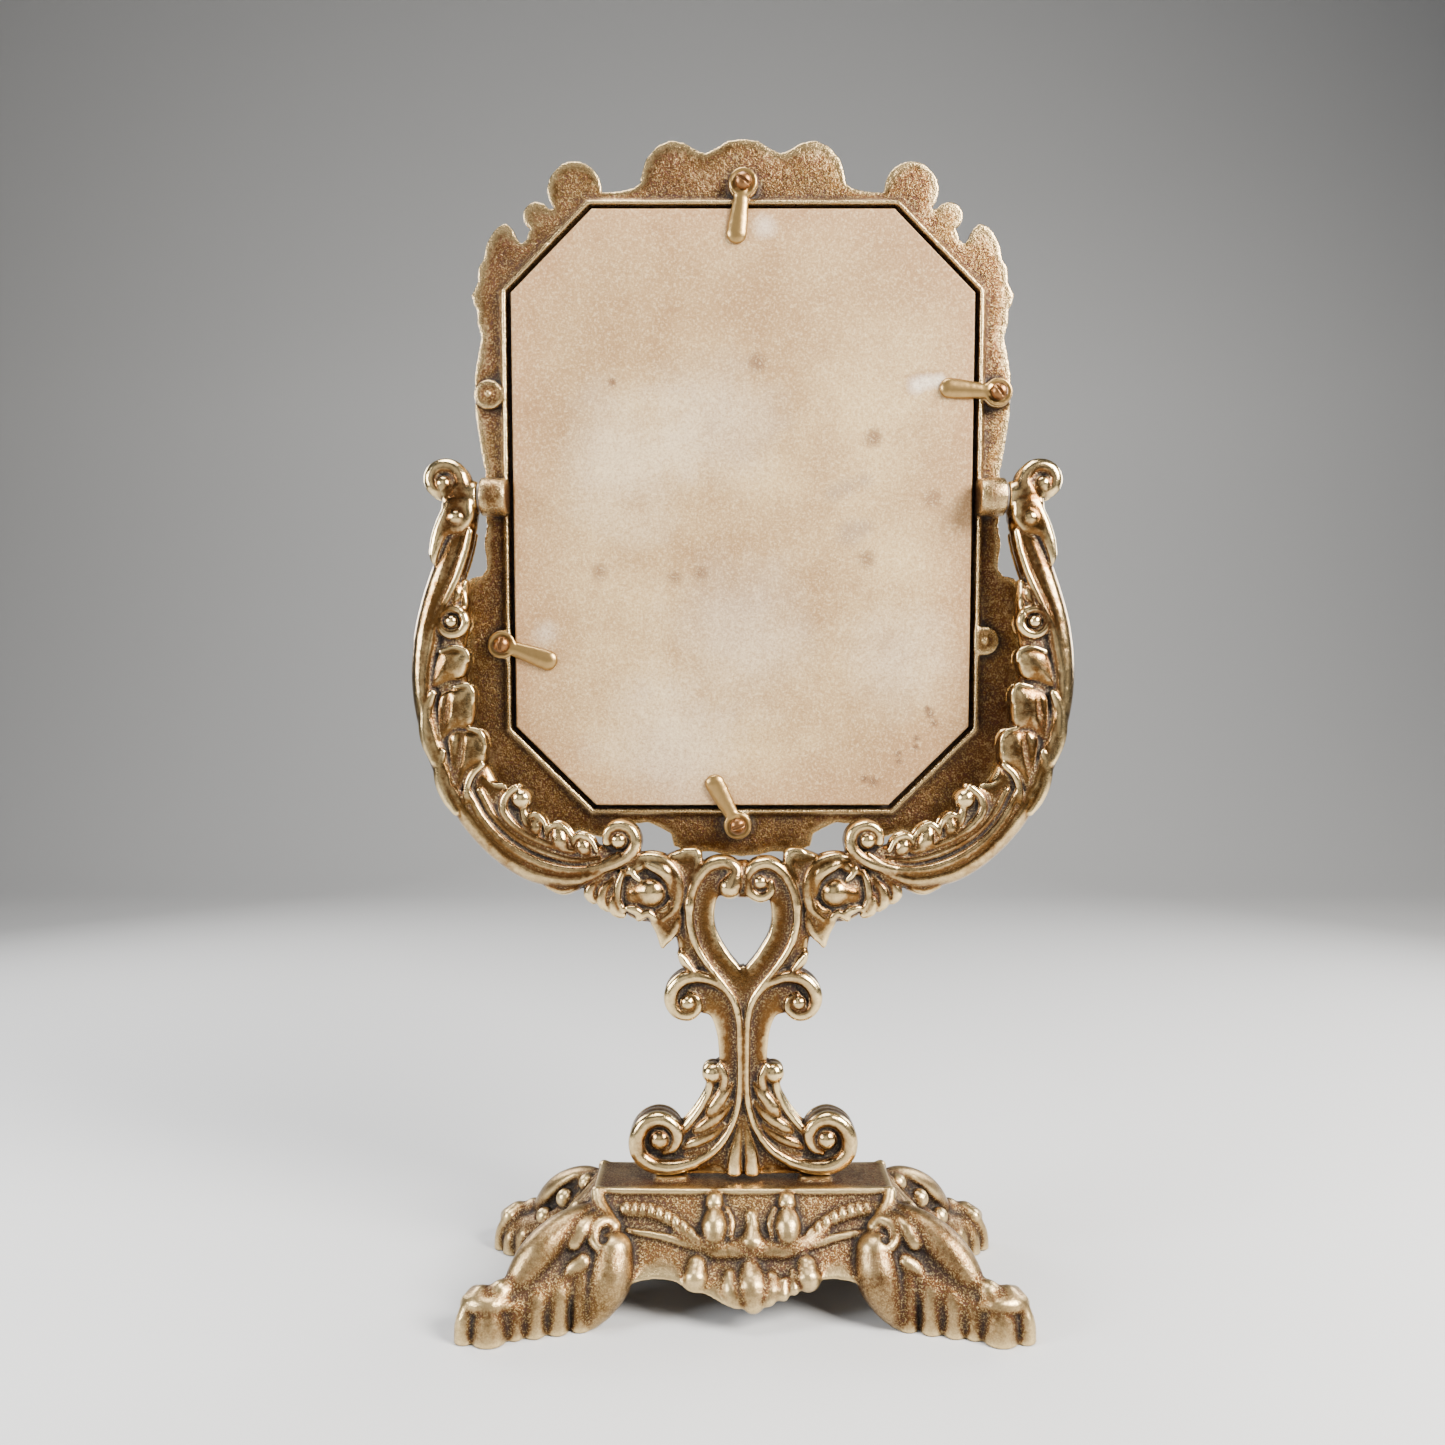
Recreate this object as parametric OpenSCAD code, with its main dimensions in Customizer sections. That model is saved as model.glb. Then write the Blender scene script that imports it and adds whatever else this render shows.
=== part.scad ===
// Table-top swing mirror: a cast base, a lyre stem with two C-scroll arms, and an
// eight-sided mirror in a lobed cast frame that tilts on two pivot screws.
// Millimetres. X runs from arm to arm, +Z is up, +Y is the side that the glass faces,
// and the origin is on the table, under the middle of the base.

/* [Mirror] */
// Width of the glass
glass_w = 177; // [170:1:180]
// Height of the glass
glass_h = 228; // [222:1:230]
// Length of each cut corner, measured along the side
glass_cut = 31; // [24:1:36]
// Thickness of the glass
glass_t = 3; // [2:0.5:3]
// Thickness of the hardboard back
board_t = 3; // [2:0.5:3]
// Thickness of the card between glass and board
card_t = 0.5; // [0.3:0.1:0.5]

/* [Stand] */
// Height of the pivot axis above the table
pivot_z = 301; // [296:1:306]
// Lean of the mirror at rest, its top towards the back
rest_tilt = 5; // [0:1:10]
// Half of the clear width between the arms at the pivots
arm_gap = 101; // [101:0.5:102]
// Depth of the arms and the stem, front to back
arm_depth = 12; // [10:1:12]
// Radius of the middle of each arm's big curve
arm_r = 63; // [62:0.5:64]

/* [Base] */
// Width over the four feet
base_w = 200; // [190:2:210]
// Depth over the four feet
base_d = 94; // [90:2:100]
// Height of the base's top plate
base_h = 42.5; // [40:0.5:44]
// Wall thickness of the hollow base
base_wall = 5; // [4:0.5:6]

/* [Turn clips] */
// Length from the screw to the clip's tip
clip_l = 22.5; // [20:0.5:23]
// Width of the clip's finger
clip_w = 7; // [5:0.5:8]
// Thickness of the clip
clip_t = 2.25; // [1.5:0.25:2.5]

/* [Hidden] */
$fn = 48;
eps = 0.01;

// The frame's layers from back to front, measured from the pivot axis
plate_y = 7;
plate_t = 4;
rim_y = plate_y - 3.1;
boss_y = plate_y - 3.4;
board_y = boss_y + 0.05;
card_y = board_y + board_t;
glass_y = card_y + card_t;
lip_y = glass_y + glass_t;
mould_t = 4.2;

// The pocket, the rim round it and the sight opening
glass_z = -5.5;
pocket_gap = 1.8;
rim_w = 3;
lip_w = 4.4;

// Pivots
lug_r = 7;
lug_in = 91.5;
lug_out = arm_gap - 1;
pin_r = 2;
pin_thread_r = 2.5;
pin_run = 0.05;
pin_in = 94.5;
pin_out = 113.5;
washer_r = 5.5;
slot_w = 1;
slot_d = 1.2;

// Clip screws: position in the frame's plane, and the direction of the clip at rest
clip_top_at = [0, 117.8];
clip_right_at = [97.8, 40];
clip_left_at = [-93.7, -56.5];
clip_bottom_at = [-1.8, -127.6];
clip_top_dir = -97.5;
clip_right_dir = 175;
clip_left_dir = -19;
clip_bottom_dir = 118.5;
boss_r = 5.6;
eye_r = 5.4;
screw_r = 1.75;
screw_run = 0.1;
head_r = 3.3;
head_h = 2.4;
screw_depth = 5.5;

// Base bolts
bolt_x = 27;
bolt_r = 2.5;
bolt_hole_r = 2.75;
bolt_grip = 9;
pad_h = 1.5;
pad_w = 14;
foot_z = base_h + pad_h;
plate_w = 109;
plate_d = 27;
plate_wall = 4;
// The plate's underside, where the washers bear
under_z = base_h - plate_wall;
bolt_washer_t = 1;
bolt_head_r = 4.5;
bolt_head_h = 3;

// Curves of the stand
curl_c = [58, 222];
depth_band = 16;

// ---------------------------------------------------------------- helpers

// Turns a drawing in X and Z into a slab from y0 to y0 + t.
module slab(y0, t) {
    translate([0, y0 + t, 0]) rotate([90, 0, 0]) linear_extrude(t) children();
}

module both_sides() {
    children();
    mirror([1, 0, 0]) children();
}

module disc(at, r) {
    translate(at) circle(r);
}

// A cylinder along X from x0 to x1 on the axis through (y, z)
module x_cylinder(x0, x1, r, y = 0, z = 0) {
    translate([x0, y, z]) rotate([0, 90, 0]) cylinder(h = x1 - x0, r = r);
}

// A cylinder along Y from y0 to y1 through the point [x, z]
module y_cylinder(y0, y1, r, at = [0, 0]) {
    translate([at[0], y1, at[1]]) rotate([90, 0, 0]) cylinder(h = y1 - y0, r = r);
}

// Puts the mirror's own frame on the pivot axis, leaning back
module on_pivot() {
    translate([0, 0, pivot_z]) rotate([rest_tilt, 0, 0]) children();
}

// The eight-sided outline, grown outwards by grow
module octagon(grow = 0) {
    w = glass_w / 2 + grow;
    h = glass_h / 2 + grow;
    c = glass_cut + grow * (2 - sqrt(2));
    translate([0, glass_z]) polygon([[-w + c, h], [w - c, h], [w, h - c], [w, -h + c],
        [w - c, -h], [-w + c, -h], [-w, -h + c], [-w, h - c]]);
}

// ---------------------------------------------------------------- mirror frame

// Lobes of the casting's edge: flowers, leaves and scrolls seen as plain rounds
module crest_2d() {
    disc([-27, 123], 11.3);
    disc([-22, 118], 14);
    disc([-1, 120.5], 14.2);
    disc([8, 125.5], 8);
    disc([22, 118], 14);
    disc([28, 122.2], 11.6);
    translate([-45, 108]) square([90, 9]);
}

module upper_lobes_2d() {
    both_sides() {
        disc([64, 116.7], 10.2);
        disc([79, 105.5], 4.9);
        disc([74, 101], 8);
        disc([90.5, 95.5], 8.5);
        disc([93.5, 86.5], 7.2);
        disc([98.5, 77.5], 5.2);
        disc([97, 68.3], 5.4);
        intersection() {
            disc([33.4, 38], 70);
            translate([80, 8]) square([30, 54]);
        }
    }
}

module lower_lobes_2d() {
    both_sides() {
        intersection() {
            disc([92, -16], 8.4);
            translate([80, -30]) square([30, 30]);
        }
        disc([98, -40], 10.4);
        disc([99, -62], 9.3);
        disc([97, -82], 9);
        disc([94, -99], 8);
        disc([86, -113], 9);
        disc([73, -123], 8.6);
        disc([57, -124.4], 8.6);
        disc([15, -127], 12.6);
    }
    disc([0, -127], 14);
}

module frame_outline_2d() {
    octagon(7.2);
    crest_2d();
    upper_lobes_2d();
    lower_lobes_2d();
}

module boss_2d() {
    for (at = [clip_top_at, clip_right_at, clip_left_at, clip_bottom_at,
               [-clip_right_at[0], clip_right_at[1]], [-clip_left_at[0], clip_left_at[1]]])
        disc(at, boss_r);
}

// Raised ornament on the front, as plain rounds and an eight-sided moulding
module front_relief() {
    slab(lip_y, mould_t) difference() {
        octagon(4.5);
        octagon(-lip_w);
    }
    slab(plate_y + plate_t - eps, 2.5) {
        crest_2d();
        both_sides() {
            disc([64, 116.7], 8.5);
            disc([90.5, 95.5], 7);
            disc([97, -50], 9);
            disc([94, -90], 8);
            disc([80, -114], 8);
        }
        disc([0, -128], 11);
    }
}

module clip_holes() {
    for (at = [clip_top_at, clip_right_at, clip_left_at, clip_bottom_at])
        y_cylinder(boss_y - 1, boss_y + screw_depth, screw_r, at);
    for (at = [[-clip_right_at[0], clip_right_at[1]], [-clip_left_at[0], clip_left_at[1]]])
        y_cylinder(boss_y - 1, boss_y + 0.8, 1.1, at);
}

module mirror_frame() {
    color("goldenrod") on_pivot() difference() {
        union() {
            slab(plate_y, plate_t) difference() {
                frame_outline_2d();
                octagon(-lip_w);
            }
            slab(rim_y, plate_y - rim_y + eps) difference() {
                octagon(pocket_gap + rim_w);
                octagon(pocket_gap);
            }
            slab(boss_y, plate_y - boss_y + eps) difference() {
                boss_2d();
                octagon(pocket_gap);
            }
            front_relief();
            both_sides() {
                x_cylinder(lug_in, lug_out, lug_r);
                translate([lug_in, 0, -lug_r]) cube([lug_out - lug_in, plate_y + 1, 2 * lug_r]);
            }
        }
        slab(0, lip_y) octagon(pocket_gap);
        clip_holes();
        both_sides() x_cylinder(lug_in + 1, lug_out + 1, pin_r + pin_run);
    }
}

module mirror_glass() {
    bevel_w = 11;
    bevel_t = 0.9;
    color("lightsteelblue") on_pivot() hull() {
        slab(glass_y, glass_t - bevel_t) octagon();
        slab(glass_y, glass_t) octagon(-bevel_w);
    }
}

module packing_card() {
    color("dimgray") on_pivot() slab(card_y, card_t) octagon(-0.5);
}

module backing_board() {
    color("burlywood") on_pivot() slab(board_y, board_t) octagon(0);
}

// ---------------------------------------------------------------- turn clips

module clip(at, dir) {
    color("darkkhaki") on_pivot() translate([at[0], 0, at[1]]) rotate([0, -dir, 0]) difference() {
        slab(board_y - 0.1 - clip_t, clip_t) {
            circle(eye_r);
            translate([0, -clip_w / 2]) square([clip_l - clip_w / 2, clip_w]);
            disc([clip_l - clip_w / 2, 0], clip_w / 2);
        }
        y_cylinder(-5, 8, screw_r + screw_run);
    }
}

module clip_screw(at, turn) {
    seat = board_y - 0.15 - clip_t;
    dome_r = 4;
    color("peru") on_pivot() translate([at[0], 0, at[1]]) rotate([0, turn, 0]) difference() {
        union() {
            y_cylinder(seat, boss_y + screw_depth, screw_r);
            intersection() {
                y_cylinder(seat - head_h, seat, head_r);
                translate([0, seat - head_h + dome_r, 0]) sphere(dome_r);
            }
        }
        translate([-5, seat - head_h - 1, -slot_w / 2]) cube([10, 1 + slot_d, slot_w]);
    }
}

module clip_top() { clip(clip_top_at, clip_top_dir); }
module clip_right() { clip(clip_right_at, clip_right_dir); }
module clip_left() { clip(clip_left_at, clip_left_dir); }
module clip_bottom() { clip(clip_bottom_at, clip_bottom_dir); }
module clip_screw_top() { clip_screw(clip_top_at, 35); }
module clip_screw_right() { clip_screw(clip_right_at, 55); }
module clip_screw_left() { clip_screw(clip_left_at, -80); }
module clip_screw_bottom() { clip_screw(clip_bottom_at, -20); }

// ---------------------------------------------------------------- stem and arms

// A ring sector round the centre of the arm's big curve
module arm_band_2d(r0, r1, a0, a1) {
    reach = 2 * r1;
    translate(curl_c) intersection() {
        difference() {
            circle(r1, $fn = 96);
            circle(r0, $fn = 96);
        }
        polygon([[0, 0], for (i = [0:4]) let (a = a0 + (a1 - a0) * i / 4) reach * [cos(a), sin(a)]]);
    }
}

module arm_2d() {
    arm_band_2d(arm_r - 9, arm_r + 5, -100, 20);
    polygon([[105, 240], [126, 240], [124.5, 255], [118, 277], [116, 296], [arm_gap, 306],
        [arm_gap, 290], [104.6, 272]]);
    disc([112.6, 306.8], 8.9);
    disc([108, 305], 7);
    disc([49, 168.5], 6);
}

// The leaves inside the curve, thinner than the arm so that the mirror passes them
module arm_leaves_2d() {
    for (a = [[-78, 53], [-62, 52], [-42, 49], [-20, 48], [2, 50], [22, 55]])
        translate(curl_c + a[1] * [cos(a[0]), sin(a[0])]) circle(6.5);
}

module lyre_2d() {
    difference() {
        disc([0, 142], 20.5);
        disc([0, 139.5], 10.6);
        polygon([[-9.6, 135], [9.6, 135], [0, 119]]);
    }
    disc([5.4, 153], 5.2);
    disc([-5.4, 153], 5.2);
    difference() {
        polygon([[-20, 139], [-8, 108], [8, 108], [20, 139]]);
        disc([0, 139.5], 10.6);
        polygon([[-9.6, 135], [9.6, 135], [0, 119]]);
    }
}

module stem_2d() {
    lyre_2d();
    both_sides() {
        disc([20.5, 111.5], 9.2);
        disc([11.8, 82], 3.8);
        disc([30.5, foot_z + 12.4], 12.4);
        polygon([[0, foot_z], [31, foot_z], [27, 66], [19.9, 62.6], [12.5, 74.6], [9.5, 86],
            [9.7, 94], [12.6, 103], [12, 116], [0, 118]]);
        disc([36.5, 151.4], 12);
        disc([51, 149], 6.5);
        disc([22.5, 151], 5);
        polygon([[26, 146], [36, 142], [30.5, 130]]);
        polygon([[14, 160], [24, 164], [30, 156]]);
    }
}

module yoke_casting() {
    color("gold") difference() {
        union() {
            slab(-arm_depth / 2, arm_depth) {
                stem_2d();
                both_sides() arm_2d();
                both_sides() arm_leaves_2d();
            }
            slab(-depth_band / 2, depth_band) {
                both_sides() arm_band_2d(arm_r - 4, arm_r + 6, -98, 14);
                both_sides() disc([36.5, 150.5], 9);
                polygon([[-12, foot_z], [12, foot_z], [3, 70], [-3, 70]]);
            }
            both_sides() x_cylinder(arm_gap, 115.5, lug_r, 0, pivot_z);
        }
        both_sides() {
            x_cylinder(arm_gap - 1, 125, pin_thread_r, 0, pivot_z);
            translate([bolt_x, 0, foot_z - 1]) cylinder(h = bolt_grip + 1, r = bolt_r);
        }
    }
}

module pivot_screw() {
    difference() {
        union() {
            x_cylinder(pin_in, arm_gap, pin_r, 0, pivot_z);
            x_cylinder(arm_gap - eps, pin_out, pin_thread_r, 0, pivot_z);
        }
        translate([pin_out - slot_d, -slot_w / 2, pivot_z - 4]) cube([5, slot_w, 8]);
    }
}

module pivot_washer() {
    difference() {
        x_cylinder(lug_out + 0.02, arm_gap - 0.03, washer_r, 0, pivot_z);
        x_cylinder(lug_out - 1, arm_gap + 1, pin_r + 0.1, 0, pivot_z);
    }
}

module pivot_screw_right() { color("sienna") pivot_screw(); }
module pivot_screw_left() { color("sienna") mirror([1, 0, 0]) pivot_screw(); }
module pivot_washer_right() { color("silver") pivot_washer(); }
module pivot_washer_left() { color("silver") mirror([1, 0, 0]) pivot_washer(); }

// ---------------------------------------------------------------- base

// One leg, from a corner of the top plate out to its foot
module leg() {
    hull() {
        translate([base_w / 2 - 64, base_d / 2 - 34, base_h - 8]) cube([18, 12, 6]);
        translate([base_w / 2 - 53, base_d / 2 - 31, 0]) cube([24, 14, 14]);
        translate([base_w / 2 - 12, base_d / 2 - 12, 0]) cylinder(h = 15, r = 12);
    }
}

module base_shell() {
    side_arch_r = 20;
    front_arch_r = 17;
    difference() {
        union() {
            hull() {
                translate([-plate_w / 2, -plate_d / 2, base_h - plate_wall])
                    cube([plate_w, plate_d, plate_wall]);
                translate([-72, -34, 14]) cube([144, 68, 2]);
            }
            for (x = [0, 1], y = [0, 1]) mirror([x, 0, 0]) mirror([0, y, 0]) leg();
            slab(-36, 72) polygon([[-12, 16], [12, 16], [4, 6], [-4, 6]]);
        }
        hull() {
            translate([-plate_w / 2 + base_wall, -plate_d / 2 + base_wall, base_h - plate_wall - 2])
                cube([plate_w - 2 * base_wall, plate_d - 2 * base_wall, 2]);
            translate([-66, -28, -1]) cube([132, 56, 2]);
        }
        both_sides() y_cylinder(-60, 60, front_arch_r, [30, 0]);
        x_cylinder(-120, 120, side_arch_r, 0, -2);
    }
}

module base_casting() {
    color("darkgoldenrod") difference() {
        union() {
            base_shell();
            both_sides() translate([bolt_x - pad_w / 2, -9, base_h - eps]) cube([pad_w, 18, pad_h + eps]);
        }
        both_sides() translate([bolt_x, 0, base_h - 20]) cylinder(h = 30, r = bolt_hole_r);
    }
}

module base_bolt(x) {
    head_z = under_z - bolt_washer_t - bolt_head_h;
    translate([x, 0, 0]) difference() {
        union() {
            translate([0, 0, head_z]) cylinder(h = bolt_head_h, r = bolt_head_r);
            translate([0, 0, head_z]) cylinder(h = foot_z + bolt_grip - 1 - head_z, r = bolt_r);
        }
        translate([-6, -slot_w / 2, head_z - 1]) cube([12, slot_w, 1 + slot_d]);
    }
}

module bolt_washer(x) {
    translate([x, 0, under_z - bolt_washer_t]) difference() {
        cylinder(h = bolt_washer_t, r = 5.2);
        translate([0, 0, -1]) cylinder(h = 4, r = bolt_hole_r);
    }
}

module base_bolt_left() { color("slategray") base_bolt(-bolt_x); }
module base_bolt_right() { color("slategray") base_bolt(bolt_x); }
module bolt_washer_left() { color("lightgray") bolt_washer(-bolt_x); }
module bolt_washer_right() { color("lightgray") bolt_washer(bolt_x); }

// ---------------------------------------------------------------- nodes

base_casting();
yoke_casting();
base_bolt_left();
base_bolt_right();
bolt_washer_left();
bolt_washer_right();
pivot_screw_left();
pivot_screw_right();
pivot_washer_left();
pivot_washer_right();
mirror_frame();
mirror_glass();
packing_card();
backing_board();
clip_top();
clip_right();
clip_left();
clip_bottom();
clip_screw_top();
clip_screw_right();
clip_screw_left();
clip_screw_bottom();
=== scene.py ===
import math

import bpy
import numpy as np
from mathutils import Matrix, Vector


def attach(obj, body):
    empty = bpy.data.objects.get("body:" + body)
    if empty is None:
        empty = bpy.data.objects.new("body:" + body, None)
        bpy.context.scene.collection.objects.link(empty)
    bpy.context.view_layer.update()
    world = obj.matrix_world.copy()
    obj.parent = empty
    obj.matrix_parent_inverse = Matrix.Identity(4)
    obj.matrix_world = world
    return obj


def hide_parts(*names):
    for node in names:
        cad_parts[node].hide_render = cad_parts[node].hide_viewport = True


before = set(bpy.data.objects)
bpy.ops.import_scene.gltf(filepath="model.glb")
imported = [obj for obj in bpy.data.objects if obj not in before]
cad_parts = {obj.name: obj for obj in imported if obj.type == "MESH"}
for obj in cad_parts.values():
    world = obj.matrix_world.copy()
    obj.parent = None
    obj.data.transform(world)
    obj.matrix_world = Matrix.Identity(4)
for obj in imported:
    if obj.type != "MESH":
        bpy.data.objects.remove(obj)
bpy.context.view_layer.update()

COARSE = 1.0
MM = 0.001
PIVOT_Z = 301.0
REST_TILT = math.radians(5)
# The glass, in the mirror's own frame: an octagon with its middle a little below the pivots
GLASS_HALF_W = 88.5
GLASS_HALF_H = 114.0
GLASS_CUT = 31.0
GLASS_MID = -5.5
# The top of the base's bolt pads, where the yoke's feet stand
PAD_TOP = 44.0
# The edge of the base's plate over its sloping long faces
PLATE_HALF_D = 13.5
PLATE_EDGE_Z = 40.5

# ------------------------------------------------------------------ a sculpting grid
# Castings are sculpted as a distance field, in millimetres, and meshed at its zero level.


def smooth_min(a, b, k):
    h = np.clip(0.5 + 0.5 * (b - a) / k, 0, 1)
    return b + (a - b) * h - k * h * (1 - h)


def spline(points, step):
    """Points on a Catmull-Rom curve through rows of numbers, about step apart in the first two columns."""
    p = np.array(points, float)
    if len(p) == 1:
        return np.vstack([p, p])
    p = np.vstack([2 * p[0] - p[1], p, 2 * p[-1] - p[-2]])
    rows = []
    for i in range(1, len(p) - 2):
        a, b, c, d = p[i - 1:i + 3]
        n = max(1, int(np.hypot(*(c - b)[:2]) / step))
        t = np.linspace(0, 1, n, endpoint=False)[:, None]
        rows.append(0.5 * (2 * b + (c - a) * t + (2 * a - 5 * b + 4 * c - d) * t ** 2
                           + (3 * b - a - 3 * c + d) * t ** 3))
    rows.append(p[-2][None])
    return np.vstack(rows)


def closed_curve(points, n=4):
    """A smooth closed outline through a few (x, z) points."""
    p = np.array(points, float)
    t = np.linspace(0, 1, n, endpoint=False)[:, None]
    rows = []
    for i in range(len(p)):
        a, b, c, d = (p[(i + j) % len(p)] for j in (-1, 0, 1, 2))
        rows.append(0.5 * (2 * b + (c - a) * t + (2 * a - 5 * b + 4 * c - d) * t ** 2
                           + (3 * b - a - 3 * c + d) * t ** 3))
    return np.vstack(rows)


class Clay:
    """A block of clay. x, y and z are in millimetres, and y is depth."""

    FAR = 8.0

    def __init__(self, low, high, size):
        self.h = size * COARSE
        self.low = np.array(low, float)
        self.axes = [np.arange(lo, hi + self.h, self.h) for lo, hi in zip(low, high)]
        self.d = np.full([len(a) for a in self.axes], self.FAR, np.float32)
        self.flip = 1

    def window(self, low, high):
        """The slices and open coordinate arrays of the grid inside a box."""
        cut, open_axes = [], []
        for i in range(3):
            a = max(0, int((low[i] - self.low[i]) / self.h))
            b = min(len(self.axes[i]), int((high[i] - self.low[i]) / self.h) + 2)
            cut.append(slice(a, max(a, b)))
            shape = [1, 1, 1]
            shape[i] = -1
            open_axes.append(self.axes[i][a:max(a, b)].astype(np.float32).reshape(shape))
        return tuple(cut), open_axes

    def merge(self, cut, new, k, carve=False):
        old = self.d[cut]
        if carve:
            self.d[cut] = -smooth_min(-old, new, k)
        else:
            self.d[cut] = smooth_min(old, new, k)

    def stroke(self, points, y=0.0, dep=None, k=0.7, carve=False):
        """Adds or carves a worm through points, each (x, z, radius) or (x, z, radius, y).

        dep is the worm's half depth where it isn't round."""
        rows = [tuple(p) + (y,) * (4 - len(p)) for p in points]
        path = spline([(self.flip * p[0],) + p[1:] for p in rows], 1.6 * self.h)
        path[:, 2] = np.maximum(path[:, 2], 0.15)
        pad = self.h * 3 + k
        reach = path[:, 2].max() + pad
        deep = (dep or path[:, 2].max()) + pad
        low = [path[:, 0].min() - reach, path[:, 3].min() - deep, path[:, 1].min() - reach]
        high = [path[:, 0].max() + reach, path[:, 3].max() + deep, path[:, 1].max() + reach]
        cut, _ = self.window(low, high)
        if 0 in self.d[cut].shape:
            return
        worm = np.full(self.d[cut].shape, self.FAR, np.float32)
        first = [c.start for c in cut]
        for a, b in zip(path[:-1], path[1:]):
            r = max(a[2], b[2]) + pad
            ry = (dep or max(a[2], b[2])) + pad
            lo = [min(a[0], b[0]) - r, min(a[3], b[3]) - ry, min(a[1], b[1]) - r]
            hi = [max(a[0], b[0]) + r, max(a[3], b[3]) + ry, max(a[1], b[1]) + r]
            small, (x, yy, z) = self.window(lo, hi)
            inner = tuple(slice(s.start - f, s.stop - f) for s, f in zip(small, first))
            if 0 in worm[inner].shape:
                continue
            e = b - a
            length2 = e[0] ** 2 + e[1] ** 2 + e[3] ** 2 + 1e-9
            t = np.clip(((x - a[0]) * e[0] + (z - a[1]) * e[1] + (yy - a[3]) * e[3]) / length2, 0, 1)
            rad = a[2] + t * e[2]
            squash = rad / dep if dep else 1.0
            dy = (yy - a[3] - t * e[3]) * squash
            dist = np.sqrt((x - a[0] - t * e[0]) ** 2 + (z - a[1] - t * e[1]) ** 2 + dy ** 2) - rad
            worm[inner] = np.minimum(worm[inner], dist)
        self.merge(cut, worm, k, carve)

    def ball(self, x, z, r, y=0.0, dep=None, k=0.7, carve=False):
        self.stroke([(x, z, r)], y, dep, k, carve)

    def pillow(self, outline, base, height=0.0, reach=3.0, k=0.6, soft=0.8, slope=(0, 0)):
        """Fills a closed outline of (x, z) out to depth base, and domes its face up by height over reach.

        A slope tips the face, by so much in each millimetre of x and z from the outline's middle."""
        pts = closed_curve([(self.flip * a, b) for a, b in outline])
        (x0, z0), (x1, z1) = pts.min(0) - 3, pts.max(0) + 3
        cut, (x, yy, z) = self.window([x0, self.low[1], z0], [x1, self.axes[1][-1], z1])
        flat = polygon_2d(x, z, pts)
        dome = np.sqrt(np.clip(1 - (1 - np.clip(-flat / reach, 0, 1)) ** 2, 0, 1))
        middle = pts.mean(0)
        base = base + slope[0] * self.flip * (x - middle[0]) + slope[1] * (z - middle[1])
        depth = (-yy - base - height * dome) * (0.8 if height else 1)
        self.merge(cut, -smooth_min(-flat, -depth, soft), k)

    def slab(self, outline, y0, y1, k, soft):
        """Fills a flat shape between two depths. outline(x, z) is the shape's own 2-D distance."""
        x = self.axes[0][:, None].astype(np.float32)
        z = self.axes[2][None, :].astype(np.float32)
        flat = outline(x, z)[:, None, :]
        cut, (_, yy, _) = self.window([self.low[0], y0 - 3, self.low[2]],
                                      [self.axes[0][-1], y1 + 3, self.axes[2][-1]])
        depth = np.abs(yy - (y0 + y1) / 2) - (y1 - y0) / 2
        new = -smooth_min(-flat, -depth, soft) + 0 * self.d[cut]
        self.merge(cut, new, k)

    def noise(self, amount, size, seed):
        """Roughens the whole surface a little, as a sand mould does."""
        rng = np.random.default_rng(seed)
        n = [max(4, int(len(a) * self.h / size)) for a in self.axes]
        grid = rng.normal(0, 1, n).astype(np.float32)
        for i, a in enumerate(self.axes):
            t = np.linspace(0, n[i] - 1.001, len(a))
            j = t.astype(int)
            f = (t - j).astype(np.float32)
            f = (f * f * (3 - 2 * f)).reshape([-1 if q == i else 1 for q in range(3)])
            grid = np.take(grid, j, i) * (1 - f) + np.take(grid, j + 1, i) * f
        self.d += amount * grid

    def mirrored(self, x=False, y=False):
        """The clay with its mirror image past x = 0 or y = 0, where the grid must end."""
        out = Clay.__new__(Clay)
        out.h, out.low, out.axes, out.d = self.h, self.low.copy(), list(self.axes), self.d
        out.flip = 1
        for i, on in ((0, x), (1, y)):
            if on:
                keep = out.axes[i] <= 1e-6
                half = np.compress(keep, out.d, i)
                out.d = np.concatenate([half, np.flip(half, i)], i)
                n = int(keep.sum())
                last = out.axes[i][n - 1]
                # The grid is nudged so that the mirror plane falls half way between its two middle layers
                out.axes[i] = out.axes[i][0] - last - out.h / 2 + out.h * np.arange(2 * n)
                out.low[i] = out.axes[i][0]
        return out

    def openness(self, reach):
        """How much of a small box round each grid point is air, from 0 in a pit to 1 on a tip."""
        n = max(1, int(round(reach / self.h)))
        s = np.clip(0.5 + self.d / self.h, 0, 1).astype(np.float32)
        for _ in range(2):
            for i in range(3):
                pad = [(n + 1, n) if q == i else (0, 0) for q in range(3)]
                c = np.cumsum(np.pad(s, pad, mode="edge"), i, dtype=np.float64)
                size = s.shape[i]
                s = ((np.take(c, range(2 * n + 1, 2 * n + 1 + size), i) - np.take(c, range(size), i))
                     / (2 * n + 1)).astype(np.float32)
        return s

    def coords(self):
        """x, y and z of every grid point, as open arrays."""
        return [a.astype(np.float32).reshape([-1 if q == i else 1 for q in range(3)])
                for i, a in enumerate(self.axes)]

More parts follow.
